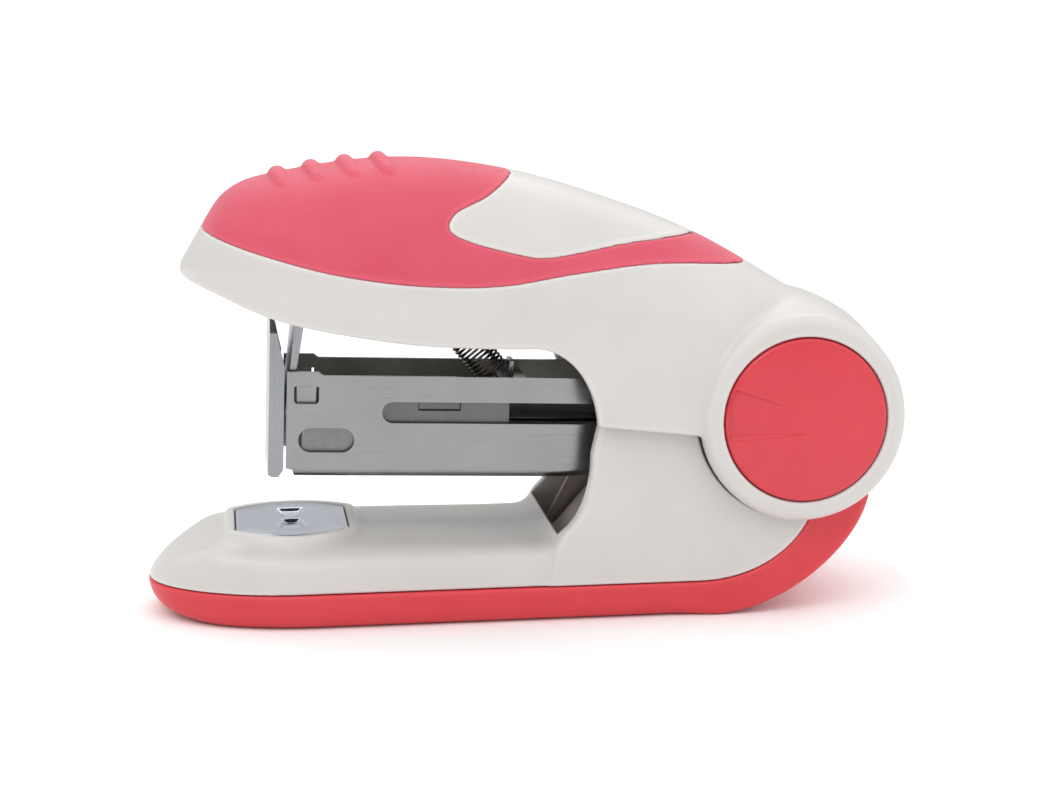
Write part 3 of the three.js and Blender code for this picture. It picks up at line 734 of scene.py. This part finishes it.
# ---- handle ----
handle_top = through([
    (HANDLE_NOSE_X, 44.3), (-39.9, 48.4), (-36.7, 53.1), (-32, 55.4), (-15.3, 57.6),
    (-0.3, 55.9), (14.5, 51.4), (24.5, 47.2), (35.5, 40.8), (HANDLE_END_X, 35.9),
])
handle_equator = through([
    (HANDLE_NOSE_X, 44.2), (-37, 43.8), (-25, 41), (-8, 38), (6, 34), (20, 30), (HANDLE_END_X, 28),
])
GRIP_DEPTH = 1.05
RIM = 1.4
CHEEK_CLEAR = 14.05
BARREL = 1.5
RIDGE_COUNT = 4
RIDGE_X = -29.8
RIDGE_PITCH = 4.25
FAN_REACH = 9.2
FAN_DEPTH = 0.5


def handle_body(volume):
    """The handle's body: superellipse sections between its top line and the deep sides, and a round nose."""
    along = volume.x[:, 0, 0]
    half = np.array([
        nose_half_width(x, HANDLE_NOSE_X, HANDLE_NOSE_L, HANDLE_HALF, 2.2) if x > HANDLE_NOSE_X else 0
        for x in along
    ])
    level = np.array([handle_equator(x) for x in along])
    up = np.array([max(handle_top(x) - handle_equator(x), 0.05) for x in along])
    down = np.array([min(45.0, max(1 + (x - HANDLE_NOSE_X) * 3, 0.1)) for x in along])
    half, level, up, down = (line[:, None, None].astype(np.float32) for line in (half, level, up, down))
    height = volume.z - level
    reach = np.where(height > 0, up, down)
    across = volume.side / np.maximum(half, 0.05)
    ratio = (np.minimum(across, 6) ** CROWN + np.minimum(np.abs(height) / reach, 6) ** CROWN) ** (1 / CROWN)
    body = volume.distance(ratio)
    return cut_off(body, volume.x - (HANDLE_END_X - 0.2), 2.5)


def handle_underside():
    """Outline of all that lies under the handle's lower edge: nose, long edge, jaw curve and parting line."""
    lower_edge = spline([
        (HANDLE_NOSE_X, 43.6), (-37.2, 41.8), (-31.5, 39.5), (-24.6, 37.8), (-14.9, 36.1), (-6, 35.4),
        (1, 35.2),
    ])
    jaw = bezier((1, 35.2), (5, 34.8), (8.2, 31), (8.6, 25.3))
    ends = [(22.2, 23.7), (70, 23.7), (70, -40), (-70, -40)]
    return [(-70, 47), (HANDLE_NOSE_X, 43.6), *lower_edge, *jaw, *ends]


def grip_region(volume):
    """Side view of the pink grip: thumb pad, and a tail down each side that meet over the back."""
    low_edge = [
        (-38.9, 49.2), (-32.4, 47.1), (-22.8, 44.6), (-13.1, 43.2), (-3.3, 43), (6.1, 44.2), (17, 45),
        (30.3, 44),
    ]
    pad = volume.outline([(-50, 49.6), low_edge[0], *spline(low_edge), (33, 50), (10, 70), (-50, 70)])
    rim = [
        (-0.3, 55.9), (-4.4, 53.4), (-8.8, 51.4), (-8.8, 49), (-1.1, 46.6), (3.4, 46.2), (12.3, 47.4),
        (20, 47.8), (24.8, 47.6),
    ]
    saddle = volume.outline([(30, 70), (-0.3, 70), rim[0], *spline(rim)])
    return np.maximum(pad, -saddle)


def drum(volume, barrel=BARREL):
    """Round drum about the pivot with softened rims, the back of the handle."""
    angle = np.degrees(np.arctan2(volume.z - PIVOT_Z, volume.x - PIVOT_X))
    across = np.maximum(1 - (volume.side / RING_HALF) ** 2, 0)
    fuller = eased(angle, 36, 56) * (1 - eased(angle, 120, 140)) * across
    out = volume.bar(PIVOT_X, PIVOT_Z, HUB_R - RIM) - barrel * fuller
    side = volume.side - (RING_HALF - RIM)
    beyond = np.sqrt(np.maximum(out, 0) ** 2 + np.maximum(side, 0) ** 2)
    return beyond + np.minimum(np.maximum(out, side), 0) - RIM


def handle_shell(volume, body):
    outer = cut_off(body, -volume.outline(handle_underside()), 0.5)
    outer = joined(outer, drum(volume), 0.7)
    sector = volume.outline([(PIVOT_X, PIVOT_Z), *arc(PIVOT_X, PIVOT_Z, HUB_R + 1.5, -35, -231, 60)])
    hub_room = np.minimum(volume.bar(PIVOT_X, PIVOT_Z, HUB_R - HUB_WALL), sector)
    hub_room = np.maximum(hub_room, volume.side - CHEEK_CLEAR)
    room = np.maximum(body + HANDLE_WALL, HANDLE_NOSE_X + 2 - volume.x)
    shell = cut_off(outer, -np.minimum(room, hub_room), 0.3)
    bearing = np.maximum(volume.bar(PIVOT_X, PIVOT_Z, 6), volume.between(11, CAP_SEAT_Y))
    cap_seat = np.maximum(volume.bar(PIVOT_X, PIVOT_Z, CAP_R + 0.16), CAP_SEAT_Y - volume.side)
    pin_head_room = np.maximum(volume.bar(PIVOT_X, PIVOT_Z, 3.6), 15 - volume.side)
    shell = joined(shell, bearing, 0.3)
    shell = cut_off(shell, -cap_seat, 0.3)
    shell = cut_off(shell, -pin_head_room, 0.2)
    shell = cut_off(shell, -volume.bar(PIVOT_X, PIVOT_Z, PIN_BORE_R), 0.2)
    pocket = np.maximum(grip_region(volume), -(body + GRIP_DEPTH))
    shell = cut_off(shell, -pocket, 0.1)
    return place(moulded("handle_shell", volume, shell), "handle", "white_plastic", WHITE, "handle_shell")


def grip_ridge(volume, x):
    """A bowed grip bar across the top of the pad, with rounded ends that sink into it."""
    half = 8.7
    t = np.minimum(volume.side / half, 1.2)
    low = handle_top(x) - 0.4 - 2.2 * t ** 2.2
    tube = np.sqrt((volume.x - x - 1.1 * t * t) ** 2 + (volume.z - low) ** 2) - 1.2
    return cut_off(tube, volume.side - half, 2.5)


def grip_cover(volume, body):
    grip = cut_off(body, grip_region(volume), 0.1)
    for i in range(RIDGE_COUNT):
        grip = joined(grip, grip_ridge(volume, RIDGE_X + RIDGE_PITCH * i), 0.25)
    grip = np.maximum(grip, -(body + GRIP_DEPTH - 0.05))
    return place(moulded("grip_cover", volume, grip, 140000), "handle", "soft_grip", GRIP, "grip_cover")


def fan_depth(dx, dz):
    """How deep the fan is pressed at a point of the cap's face: widest and deepest at its front edge."""
    share = max(-dx / FAN_REACH, 0)
    centre = -0.3 + 1.3 * share
    inside = (1.5 + 1.75 * share - abs(dz - centre)) / 0.4
    inside = min(max(inside, 0), 1)
    return FAN_DEPTH * min(share, 1) ** 0.8 * inside * inside * (3 - 2 * inside)


def hub_cap(side):
    """Glossy domed cap with a rounded rim and a shallow fan pressed into its face."""
    back, rim, edge_y, rings = CAP_SEAT_Y + 0.1, 0.5, CAP_HALF - 0.4, 90
    flat_r = CAP_R - rim
    profile = [(0, back), (CAP_R, back), (CAP_R + 0.1, back + 0.1)]
    profile += [(CAP_R + 0.1, edge_y - 0.75), (CAP_R, edge_y - 0.65)]
    for i in range(9):
        a = math.pi / 2 * i / 8
        profile.append((flat_r + rim * math.cos(a), edge_y - rim + rim * math.sin(a)))
    for i in range(1, rings):
        radius = flat_r * (1 - i / rings)
        profile.append((radius, edge_y + (CAP_HALF - edge_y) * (1 - (radius / flat_r) ** 2)))
    profile.append((0, CAP_HALF))
    name = "cap_left" if side < 0 else "cap_right"
    cap = lathe_y(name, profile, 300)
    for vertex in cap.data.vertices:
        x, y, z = (c / MM for c in vertex.co)
        if y > edge_y - 0.01:
            y -= fan_depth(x - PIVOT_X, z - PIVOT_Z)
        vertex.co.y = side * y * MM
    if side < 0:
        cap.data.flip_normals()
    smooth_by_angle(cap, 50)
    return place(cap, "handle", "cap_plastic", CAP, name)


# ---- base ----
def cover_side():
    """Side view of the white cover: arm, jaw curve, cheeks, and the lobe behind them under the hub."""
    nose = spline([(BASE_NOSE_X, SEAM_Z), (-45.3, 6.6), (-42.7, 8.3), (-39.6, 9.8), (-36, ARM_TOP_Z)])
    top = [(-22, ARM_TOP_Z), *bezier((-22, ARM_TOP_Z), (-14, 10.7), (-4, 9.9), (1.5, 10.2))]
    jaw = bezier((1.5, 10.2), (6.4, 10.9), (8.2, 16), (8.2, 21.5))
    back = [(9.6, 27.5), (24, 27.5), (34, 20), (37, 20), (37, -20), (BASE_NOSE_X - 0.6, -20)]
    return [(BASE_NOSE_X - 0.3, SEAM_Z), *nose, *top, *jaw, *back]


def seam(top, clear):
    """Outline of all that lies under the line between cover and sole, which climbs to the hub's underside."""
    seat = math.radians(SEAM_END_ANGLE)
    seat_start = (PIVOT_X + clear * math.cos(seat), PIVOT_Z + clear * math.sin(seat))
    rise = bezier((22, top), (28.8, top), (33.9, top + 3.1), seat_start, 40)
    steps = 40
    cradle = []
    for i in range(steps + 1):
        angle = math.radians(SEAM_END_ANGLE + (LIP_ANGLE - SEAM_END_ANGLE) * i / steps)
        radius = clear + LIP_OPENING * (i / steps) ** 2
        cradle.append((PIVOT_X + radius * math.cos(angle), PIVOT_Z + radius * math.sin(angle)))
    return [(-70, top), (22, top), *rise, *cradle, (60, 27), (60, -30), (-70, -30)]


def anvil_area(volume, steps=24):
    """Barrel-shaped outline of the anvil plate seen from above, with rounded corners."""
    corner = 0.9
    half, end, bulge = 7.1 - corner, 6.3 - corner, 11.9 - corner
    bow = [
        (ANVIL_X - half + 2 * half * t, (1 - 2 * t * (1 - t)) * end + 2 * t * (1 - t) * bulge)
        for t in (i / steps for i in range(steps + 1))
    ]
    return volume.outline(bow + [(x, -y) for x, y in reversed(bow)], plan=True) - corner


def eased(value, low, high):
    """0 below low, 1 above high, with a smooth step between."""
    t = np.clip((value - low) / (high - low), 0, 1)
    return t * t * (3 - 2 * t)


def base_cover(volume):
    plan = volume.outline(nose_plan(BASE_NOSE_X, BASE_NOSE_L, COVER_HALF, 60), plan=True)
    arm = (1 - eased(volume.x, -6, 5)) * eased(volume.x, BASE_NOSE_X - 1, BASE_NOSE_X + 6)
    height = volume.distance(((volume.side / COVER_HALF) ** ARM_POWER
                              + (np.maximum(volume.z - SEAM_Z, 0) / (ARM_TOP_Z - SEAM_Z)) ** ARM_POWER)
                             ** (1 / ARM_POWER) + 0 * volume.x)
    cover = cut_off(volume.outline(cover_side()), plan, 0.8 + 1.4 * arm)
    crown = height - 60 * eased(volume.x, 0.5, 14) ** 2
    cover = cut_off(cover, crown, 1.2)
    boss = np.maximum(anvil_area(volume) - 0.8, volume.z - (ANVIL_TOP - 0.25))
    cover = joined(cover, np.maximum(boss, 6 - volume.z), 2.2)
    cover = cut_off(cover, -volume.outline(seam(SEAM_Z, HUB_CLEAR_R)), 0.25)
    cover = cut_off(cover, 0.1 - drum(volume, 0), 0.1)
    channel = cut_off(CHANNEL_X - volume.x, volume.side - COVER_IN, 0.5)
    under = np.maximum(np.maximum(np.abs(volume.x + 16) - 21.5, volume.side - 10.6), volume.z - 8.6)
    seat = np.maximum(anvil_area(volume) - 0.12, ANVIL_TOP - 1.0 - volume.z)
    hole = np.sqrt((volume.x - ANVIL_X) ** 2 + volume.y ** 2) - 1.9
    for room in (channel, under, hole):
        cover = cut_off(cover, -room, 0.3)
    cover = cut_off(cover, -seat, 0.3)
    return place(moulded("base_cover", volume, cover), "base", "white_plastic", WHITE, "base_cover")


def base_sole(volume):
    """Pink tray under the base, its keel rounded across, curling up behind the hub into a thin lip."""
    lip = math.radians(LIP_ANGLE)
    lip_end = (PIVOT_X + LIP_R * math.cos(lip), PIVOT_Z + LIP_R * math.sin(lip))
    nose = bezier((BASE_NOSE_X, SEAM_Z), (-47.2, 1.4), (-43.5, 0), (-37, 0), 40)
    heel = bezier((24, 0), (33.5, 0.2), (42.6, 8.2), lip_end, 60)
    above = [(lip_end[0], 60), (BASE_NOSE_X, 60)]
    under = volume.outline([(BASE_NOSE_X, SEAM_Z), *nose, (24, 0), *heel, *above])
    over = volume.outline(seam(SEAM_Z - 0.1, HUB_CLEAR_R - 0.1))
    plan = volume.outline(nose_plan(BASE_NOSE_X, BASE_NOSE_L, COVER_HALF, 70), plan=True)
    keel = eased(volume.x, BASE_NOSE_X - 1, BASE_NOSE_X + 6) * (1 - eased(volume.x, 18, 26))
    round_over = 0.9 + 1.7 * keel
    sole = cut_off(cut_off(under, plan, round_over), over, 0.25)
    tray_plan = nose_plan(BASE_NOSE_X + 3.5, BASE_NOSE_L, COVER_HALF - 2.6, 21)
    tray_plan = volume.outline(tray_plan, plan=True)
    sole = cut_off(sole, -np.maximum(tray_plan, 1.6 - volume.z), 0.3)
    return place(moulded("base_sole", volume, sole, 140000), "base", "sole_plastic", SOLE, "base_sole")


def anvil_plate():
    """Pressed steel plate, slightly pillowed, with two crimping pockets that flare away from its middle."""
    volume = Volume((ANVIL_X - 8, -10.2, ANVIL_TOP - 1.6), (ANVIL_X + 8, 10.2, ANVIL_TOP + 0.8), 0.1)
    plan = anvil_area(volume)
    crown = ANVIL_TOP - 0.1 * eased(-plan, 2.2, 0.0)
    plate = cut_off(np.maximum(volume.z - crown, ANVIL_TOP - 0.8 - volume.z), plan, 0.25)
    out = volume.side
    half = 1.0 + 0.14 * out
    pocket = cut_off(np.abs(volume.x - ANVIL_X) - half, volume.between(0.7, 5.4), 0.5)
    floor = ANVIL_TOP - 0.42 * eased(-pocket, -0.15, 0.55)
    plate = cut_off(plate, -np.maximum(pocket, floor - volume.z), 0.15)
    piece = moulded("anvil_plate", volume, plate, 90000)
    return place(piece, "base", "bright_steel", ANVIL_STEEL, "anvil_plate")


# ---- magazine, built in its own frame: origin on the pivot, +x towards the rear ----
def seated(piece):
    """Moves a piece from the magazine's frame into the row frame."""
    place_in_row = Matrix.Translation(Vector((PIVOT_X, 0, PIVOT_Z)) * MM)
    piece.data.transform(place_in_row @ Matrix.Rotation(MAG_TILT, 4, "Y"))
    return piece


def channel_section(half, low, high, wall, corner, steps=10):
    """Cross-section of sheet folded into an upright channel with rounded lower corners."""
    def path(across, bottom, radius):
        right = arc(across - radius, bottom + radius, radius, 0, -90, steps)
        return [(across, high), *right]

    outer = path(half, low, corner)
    inner = path(half - wall, low + wall, corner - wall)
    outer += [(-y, z) for y, z in reversed(outer)]
    inner += [(-y, z) for y, z in reversed(inner)]
    return outer + inner[::-1]


def oblong(x0, x1, z, radius, steps=20):
    return arc(x0, z, radius, 90, 270, steps) + arc(x1, z, radius, -90, 90, steps)


TAB_X0, TAB_X1, TAB_LOW, TAB_HIGH = -63.1, -60.0, -0.3, 1.9


def magazine_case():
    """Nickel-plated channel with raised ears at its nose, a pusher slot, an oval window and a lanced tab."""
    case = lengthwise("magazine_case", channel_section(CASE_HALF, CASE_BOTTOM, 10, CASE_WALL, 1.1), -70, 10)
    side = [
        (CASE_FRONT, CASE_BOTTOM + 1.1), (CASE_FRONT + 0.8, CASE_BOTTOM + 0.9),
        (CASE_FRONT + 1.5, CASE_BOTTOM - 1), (-16, CASE_BOTTOM - 1), (-4, -5.6), (3.4, -4), (4.6, 0),
        (3.2, CASE_TOP), (CASE_FRONT + 4.6, CASE_TOP), (CASE_FRONT + 4.3, CASE_TOP + 0.15),
        (CASE_FRONT + 4, CASE_TOP + 0.45), (CASE_FRONT, CASE_TOP + 0.45),
    ]
    combine(case, slab("side", side, -10, 10), "INTERSECT")
    slot = arc(-50.7, -1.3, 1.35, 90, 270) + [(-5, -2.65), (-5, 0.05)]
    tab = [(TAB_X0, TAB_HIGH), *arc(TAB_X0 + 0.5, TAB_LOW + 0.5, 0.5, 180, 270, 8)]
    tab += [*arc(TAB_X1 - 0.5, TAB_LOW + 0.5, 0.5, 270, 360, 8), (TAB_X1, TAB_HIGH)]
    inner = CASE_HALF - CASE_WALL
    without(
        case,
        block(-70, CASE_FRONT + 1.8, -inner + 0.15, inner - 0.15, -12, 10),
        block(-10, 10, -inner, inner, -12, 10),
        slab("slot", slot, -10, 0),
        slab("window", oblong(-60.95, -57.05, -4.9, 1.55), -10, 10),
        slab("tab", tab, -10, 10),
        cross_bar(0, 0, PIN_BORE_R, -10, 10, 48),
    )
    case.name = "magazine_case"
    bevelled(case, 0.12, 2, 28)
    # The channel's inside faces take the second, lighter steel: painted light for the shaded inside of the
    # channel.
    inside = [
        face.index for face in case.data.polygons
        if abs(face.center.y) < (inner + 0.02) * MM and face.center.z > (CASE_BOTTOM + 0.3) * MM
    ]
    place(seated(case), "magazine", "bright_steel", SHEET, "magazine_case")
    case.data.materials.append(CASE_INSIDE_PAINTED_LIGHT)
    for index in inside:
        case.data.polygons[index].material_index = 1
    return case


def lanced_tab(side):
    """Tongue of the case wall, pressed inwards below its top edge."""
    face, t = CASE_HALF - 0.03, 0.35
    section = [
        (face, TAB_HIGH + 0.05), (face - 0.08, 1.0), (face - 0.4, -0.1), (face - 0.45, -0.6),
        (face - 0.45 - t, -0.6), (face - 0.4 - t, 0.0), (face - t, 1.1), (face - t, TAB_HIGH + 0.05),
    ]
    section = [(side * y, z) for y, z in section]
    name = "lanced_tab_left" if side < 0 else "lanced_tab_right"
    tab = lengthwise(name, section, TAB_X0 + 0.3, TAB_X1 - 0.3)
    bevelled(tab, 0.1, 2, 25)
    return place(seated(tab), "magazine", "bright_steel", SHEET)


def front_plate():
    """Tall plate that closes the magazine's nose: side flanges with sloping tops, and a foot turned under."""
    outer, back, top, t = -66.2, CASE_FRONT - 0.3, 10.2, 0.7
    flange = [
        (outer, CASE_BOTTOM + 0.2), (outer + 0.5, CASE_BOTTOM - 0.05), (outer + 1.3, CASE_BOTTOM - 0.05),
        (back, CASE_BOTTOM + 0.9), (back, 4.4), (back - 0.5, 6.4), (outer + 0.8, 9.2), (outer + 0.45, top),
        (outer, top),
    ]
    plate = slab("front_plate", flange, -CASE_HALF, CASE_HALF)
    inner = CASE_HALF - CASE_WALL
    without(plate, block(outer + t, 0, -inner, inner, -20, 20))
    corner = 1.6
    for side in (-1, 1):
        beyond, start = side * (CASE_HALF + 1), side * (CASE_HALF - corner)
        tip = [(beyond, 11.5), (beyond, top - corner), (side * CASE_HALF, top - corner)]
        tip += [(start, top), (start, 11.5)]
        without(plate, lengthwise("corner", tip, -70, -60))
    plate.name = "front_plate"
    bevelled(plate, 0.16, 3, 28)
    return place(seated(plate), "magazine", "bright_steel", PLATE, "front_plate")


def staple_strip():
    """The strip: flat-sided wire hoops side by side."""
    width = STAPLE_PITCH - 0.006
    foot = CASE_BOTTOM + CASE_WALL + 0.3
    bend = 0.45
    outer = [(STAPLE_HALF, foot), *arc(STAPLE_HALF - bend, CROWN_Z - bend, bend, 0, 90, 5)]
    inner_half = STAPLE_HALF - STAPLE_WIRE
    inner = [(inner_half, foot), (inner_half, CROWN_Z - STAPLE_WIRE)]
    hoop = outer + [(-y, z) for y, z in reversed(outer)] + [(-y, z) for y, z in inner] + inner[::-1]
    points, faces = [], []
    for i in range(STAPLE_COUNT):
        x = STRIP_FRONT + i * STAPLE_PITCH
        front = [(x, y, z) for y, z in hoop]
        rear = [(x + width, y, z) for y, z in hoop]
        more, sides = stretched(front, rear)
        faces += [tuple(len(points) + k for k in face) for face in sides]
        points += more
    strip = facing_out(mesh_object("staple_strip", points, faces))
    smooth_by_angle(strip, 30)
    return place(seated(strip), "magazine", "bright_steel", STAPLES, "staple_strip")


def pusher():
    """Saddle behind the staples, with a pressed recess on each side and a pull tab on top."""
    front = STRIP_FRONT + STAPLE_COUNT * STAPLE_PITCH + 0.3
    rear = front + PUSHER_L
    half = CASE_HALF - CASE_WALL - 0.25
    rail = 5.8
    body = block(front, rear, -half, half, CASE_BOTTOM + CASE_WALL + 0.3, 0.5)
    without(body, block(front - 1, rear + 1, -rail, rail, -12, CROWN_Z - 0.5))
    for side in (-1, 1):
        near, far = sorted((side * (half - 0.4), side * 9))
        without(body, block(front + 4.8, front + 10.1, near, far, -1.1, 0.8))
    union(body, block(front + 0.5, front + 2.1, -0.8, 0.8, -7, CROWN_Z - 0.3))
    union(body, block(rear - 1.2, rear - 0.4, -1.5, 1.5, 0.3, 1.2))
    body.name = "pusher"
    bevelled(body, 0.15, 2, 30)
    return place(seated(body), "pusher", "bright_steel", PUSHER, "pusher")


def spring_coil(name, start, end, radius, turns, wire_r, lead=1.2, steps=26, sides=9):
    """Close-wound round wire along a line, its first and last turns drawn in to hooks on the axis."""
    start, end = Vector(start), Vector(end)
    axis = end - start
    along = axis.normalized()
    across = Vector((0, 1, 0))
    other = along.cross(across)
    count = int(turns * steps)
    centres = []
    for i in range(count + 1):
        t = i / count
        turn = turns * t
        near_end = min(turn, turns - turn)
        r = radius * (0.35 + 0.65 * min(near_end / 0.75, 1))
        angle = 2 * math.pi * turn
        centres.append(start + axis * t + across * (r * math.cos(angle)) + other * (r * math.sin(angle)))
    centres.insert(0, start - along * lead + across * (0.35 * radius))
    centres.append(end + along * lead + across * (0.35 * radius))
    rings = []
    for i, centre in enumerate(centres):
        ahead = (centres[min(i + 1, len(centres) - 1)] - centres[max(i - 1, 0)]).normalized()
        u = ahead.cross(along if abs(ahead.dot(along)) < 0.95 else across).normalized()
        v = ahead.cross(u)
        rings.append([
            tuple(centre + u * (wire_r * math.cos(a)) + v * (wire_r * math.sin(a)))
            for a in (2 * math.pi * k / sides for k in range(sides))
        ])
    coil = loft(name, rings, tuple(centres[0]), tuple(centres[-1]))
    coil.data.shade_smooth()
    return coil


def handle_spring():
    """The dark coil between the handle's cross pin and the strap in the magazine."""
    top, low = (-10.4, 0, 39.5), (-2.5, 0, 29.7)
    coil = spring_coil("handle_spring", top, low, 2.08, 23, 0.17)
    coil.data.materials.append(WIRE)
    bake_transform(coil)
    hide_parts("handle_spring")
    return coil


def lift_spring():
    """Leaf riveted to the base, whose raised end presses up on the magazine."""
    rise = [(4.2, 6.8), (6.2, 7.6), (9.7, 11.5), (13.2, 15.4), (14.6, 16.1), (16, 15.8)]
    path = [(-7, 6.8), (4.2, 6.8), *spline(rise)]
    under = [(x + 0.28 * float(eased(x, 4.2, 6.2)), z - 0.4) for x, z in path]
    leaf = slab("lift_spring", path + under[::-1], -LEAF_HALF, LEAF_HALF)
    # The leaf takes the lightened inner steel: painted light for the shaded jaw.
    leaf.data.materials.append(INNER_STEEL_PAINTED_LIGHT)
    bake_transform(leaf)
    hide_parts("lift_spring")
    return leaf


def pusher_spring():
    """The thin coil inside the rail that draws the pusher towards the nose."""
    coil = spring_coil("pusher_spring", (-60.2, 0, -6.2), (-51.9, 0, -6.2), 1.4, 15, 0.16, lead=0.6)
    seated(coil)
    coil.data.materials.append(WIRE)
    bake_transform(coil)
    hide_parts("pusher_spring")
    return coil


def driver_blade():
    """Leaning blade under the handle's nose, stiffened by folded edges that taper towards its tip."""
    web = [(-29.6, 26.2), (-29.05, 26.1), (-26.95, 42.3), (-18, 42.3), (-18, 42.9), (-27.5, 42.9)]
    blade = slab("driver_blade", web, -BLADE_HALF, BLADE_HALF)
    edge = [(-29.4, 27.6), (-28.7, 27.8), (-26.2, 41.8), (-27.4, 41.8)]
    for side in (-1, 1):
        union(blade, slab("fold", edge, *sorted((side * (BLADE_HALF - 0.6), side * BLADE_HALF))))
    blade.name = "driver_blade"
    bevelled(blade, 0.1, 2, 30)
    return place(blade, "handle", "bright_steel", PLATE, "driver_blade")


# ---- CAD pieces whose shape is right: softened edges and a finish, partly painted light ----
def finished_cad(node, material, width):
    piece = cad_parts[node]
    weld = piece.modifiers.new("weld", "WELD")
    weld.merge_threshold = 0.002 * MM
    bevel = piece.modifiers.new("edge", "BEVEL")
    bevel.width = width * MM
    bevel.segments = 2
    bevel.limit_method = "ANGLE"
    bevel.angle_limit = math.radians(32)
    piece.modifiers.new("normals", "WEIGHTED_NORMAL").keep_sharp = True
    piece.data.shade_smooth()
    for slot in piece.material_slots:
        slot.link = "OBJECT"
        slot.material = material


# ---- the whole stapler ----
handle_space = Volume((-44.1, -18.6, 9.5), (49.8, 18.6, 60.5), VOXEL)
outer_body = handle_body(handle_space)
handle_shell(handle_space, outer_body)
grip_cover(handle_space, outer_body)
hub_cap(-1)
hub_cap(1)
driver_blade()
handle_spring()
base_space = Volume((-48.8, -15.2, -1.2), (46.8, 15.2, 29), VOXEL)
base_cover(base_space)
base_sole(base_space)
anvil_plate()
magazine_case()
lanced_tab(-1)
lanced_tab(1)
front_plate()
staple_strip()
pusher()
pusher_spring()
lift_spring()
# base_frame, pin_clip and handle_frame take the lightened inner steel: painted light for the shaded jaw.
for node, material, width in (
    ("base_frame", INNER_STEEL_PAINTED_LIGHT, 0.15),
    ("lift_spring_rivet", SHEET, 0.12),
    ("anvil_rivet", SHEET, 0.1),
    ("pivot_pin", SHEET, 0.2),
    ("pin_clip", INNER_STEEL_PAINTED_LIGHT, 0.1),
    ("staple_rail", SHEET, 0.1),
    ("spring_bridge", SHEET, 0.12),
    ("handle_frame", INNER_STEEL_PAINTED_LIGHT, 0.15),
    ("driver_rivet_left", SHEET, 0.12),
    ("driver_rivet_right", SHEET, 0.12),
    ("spring_pin", SHEET, 0.2),
):
    finished_cad(node, material, width)
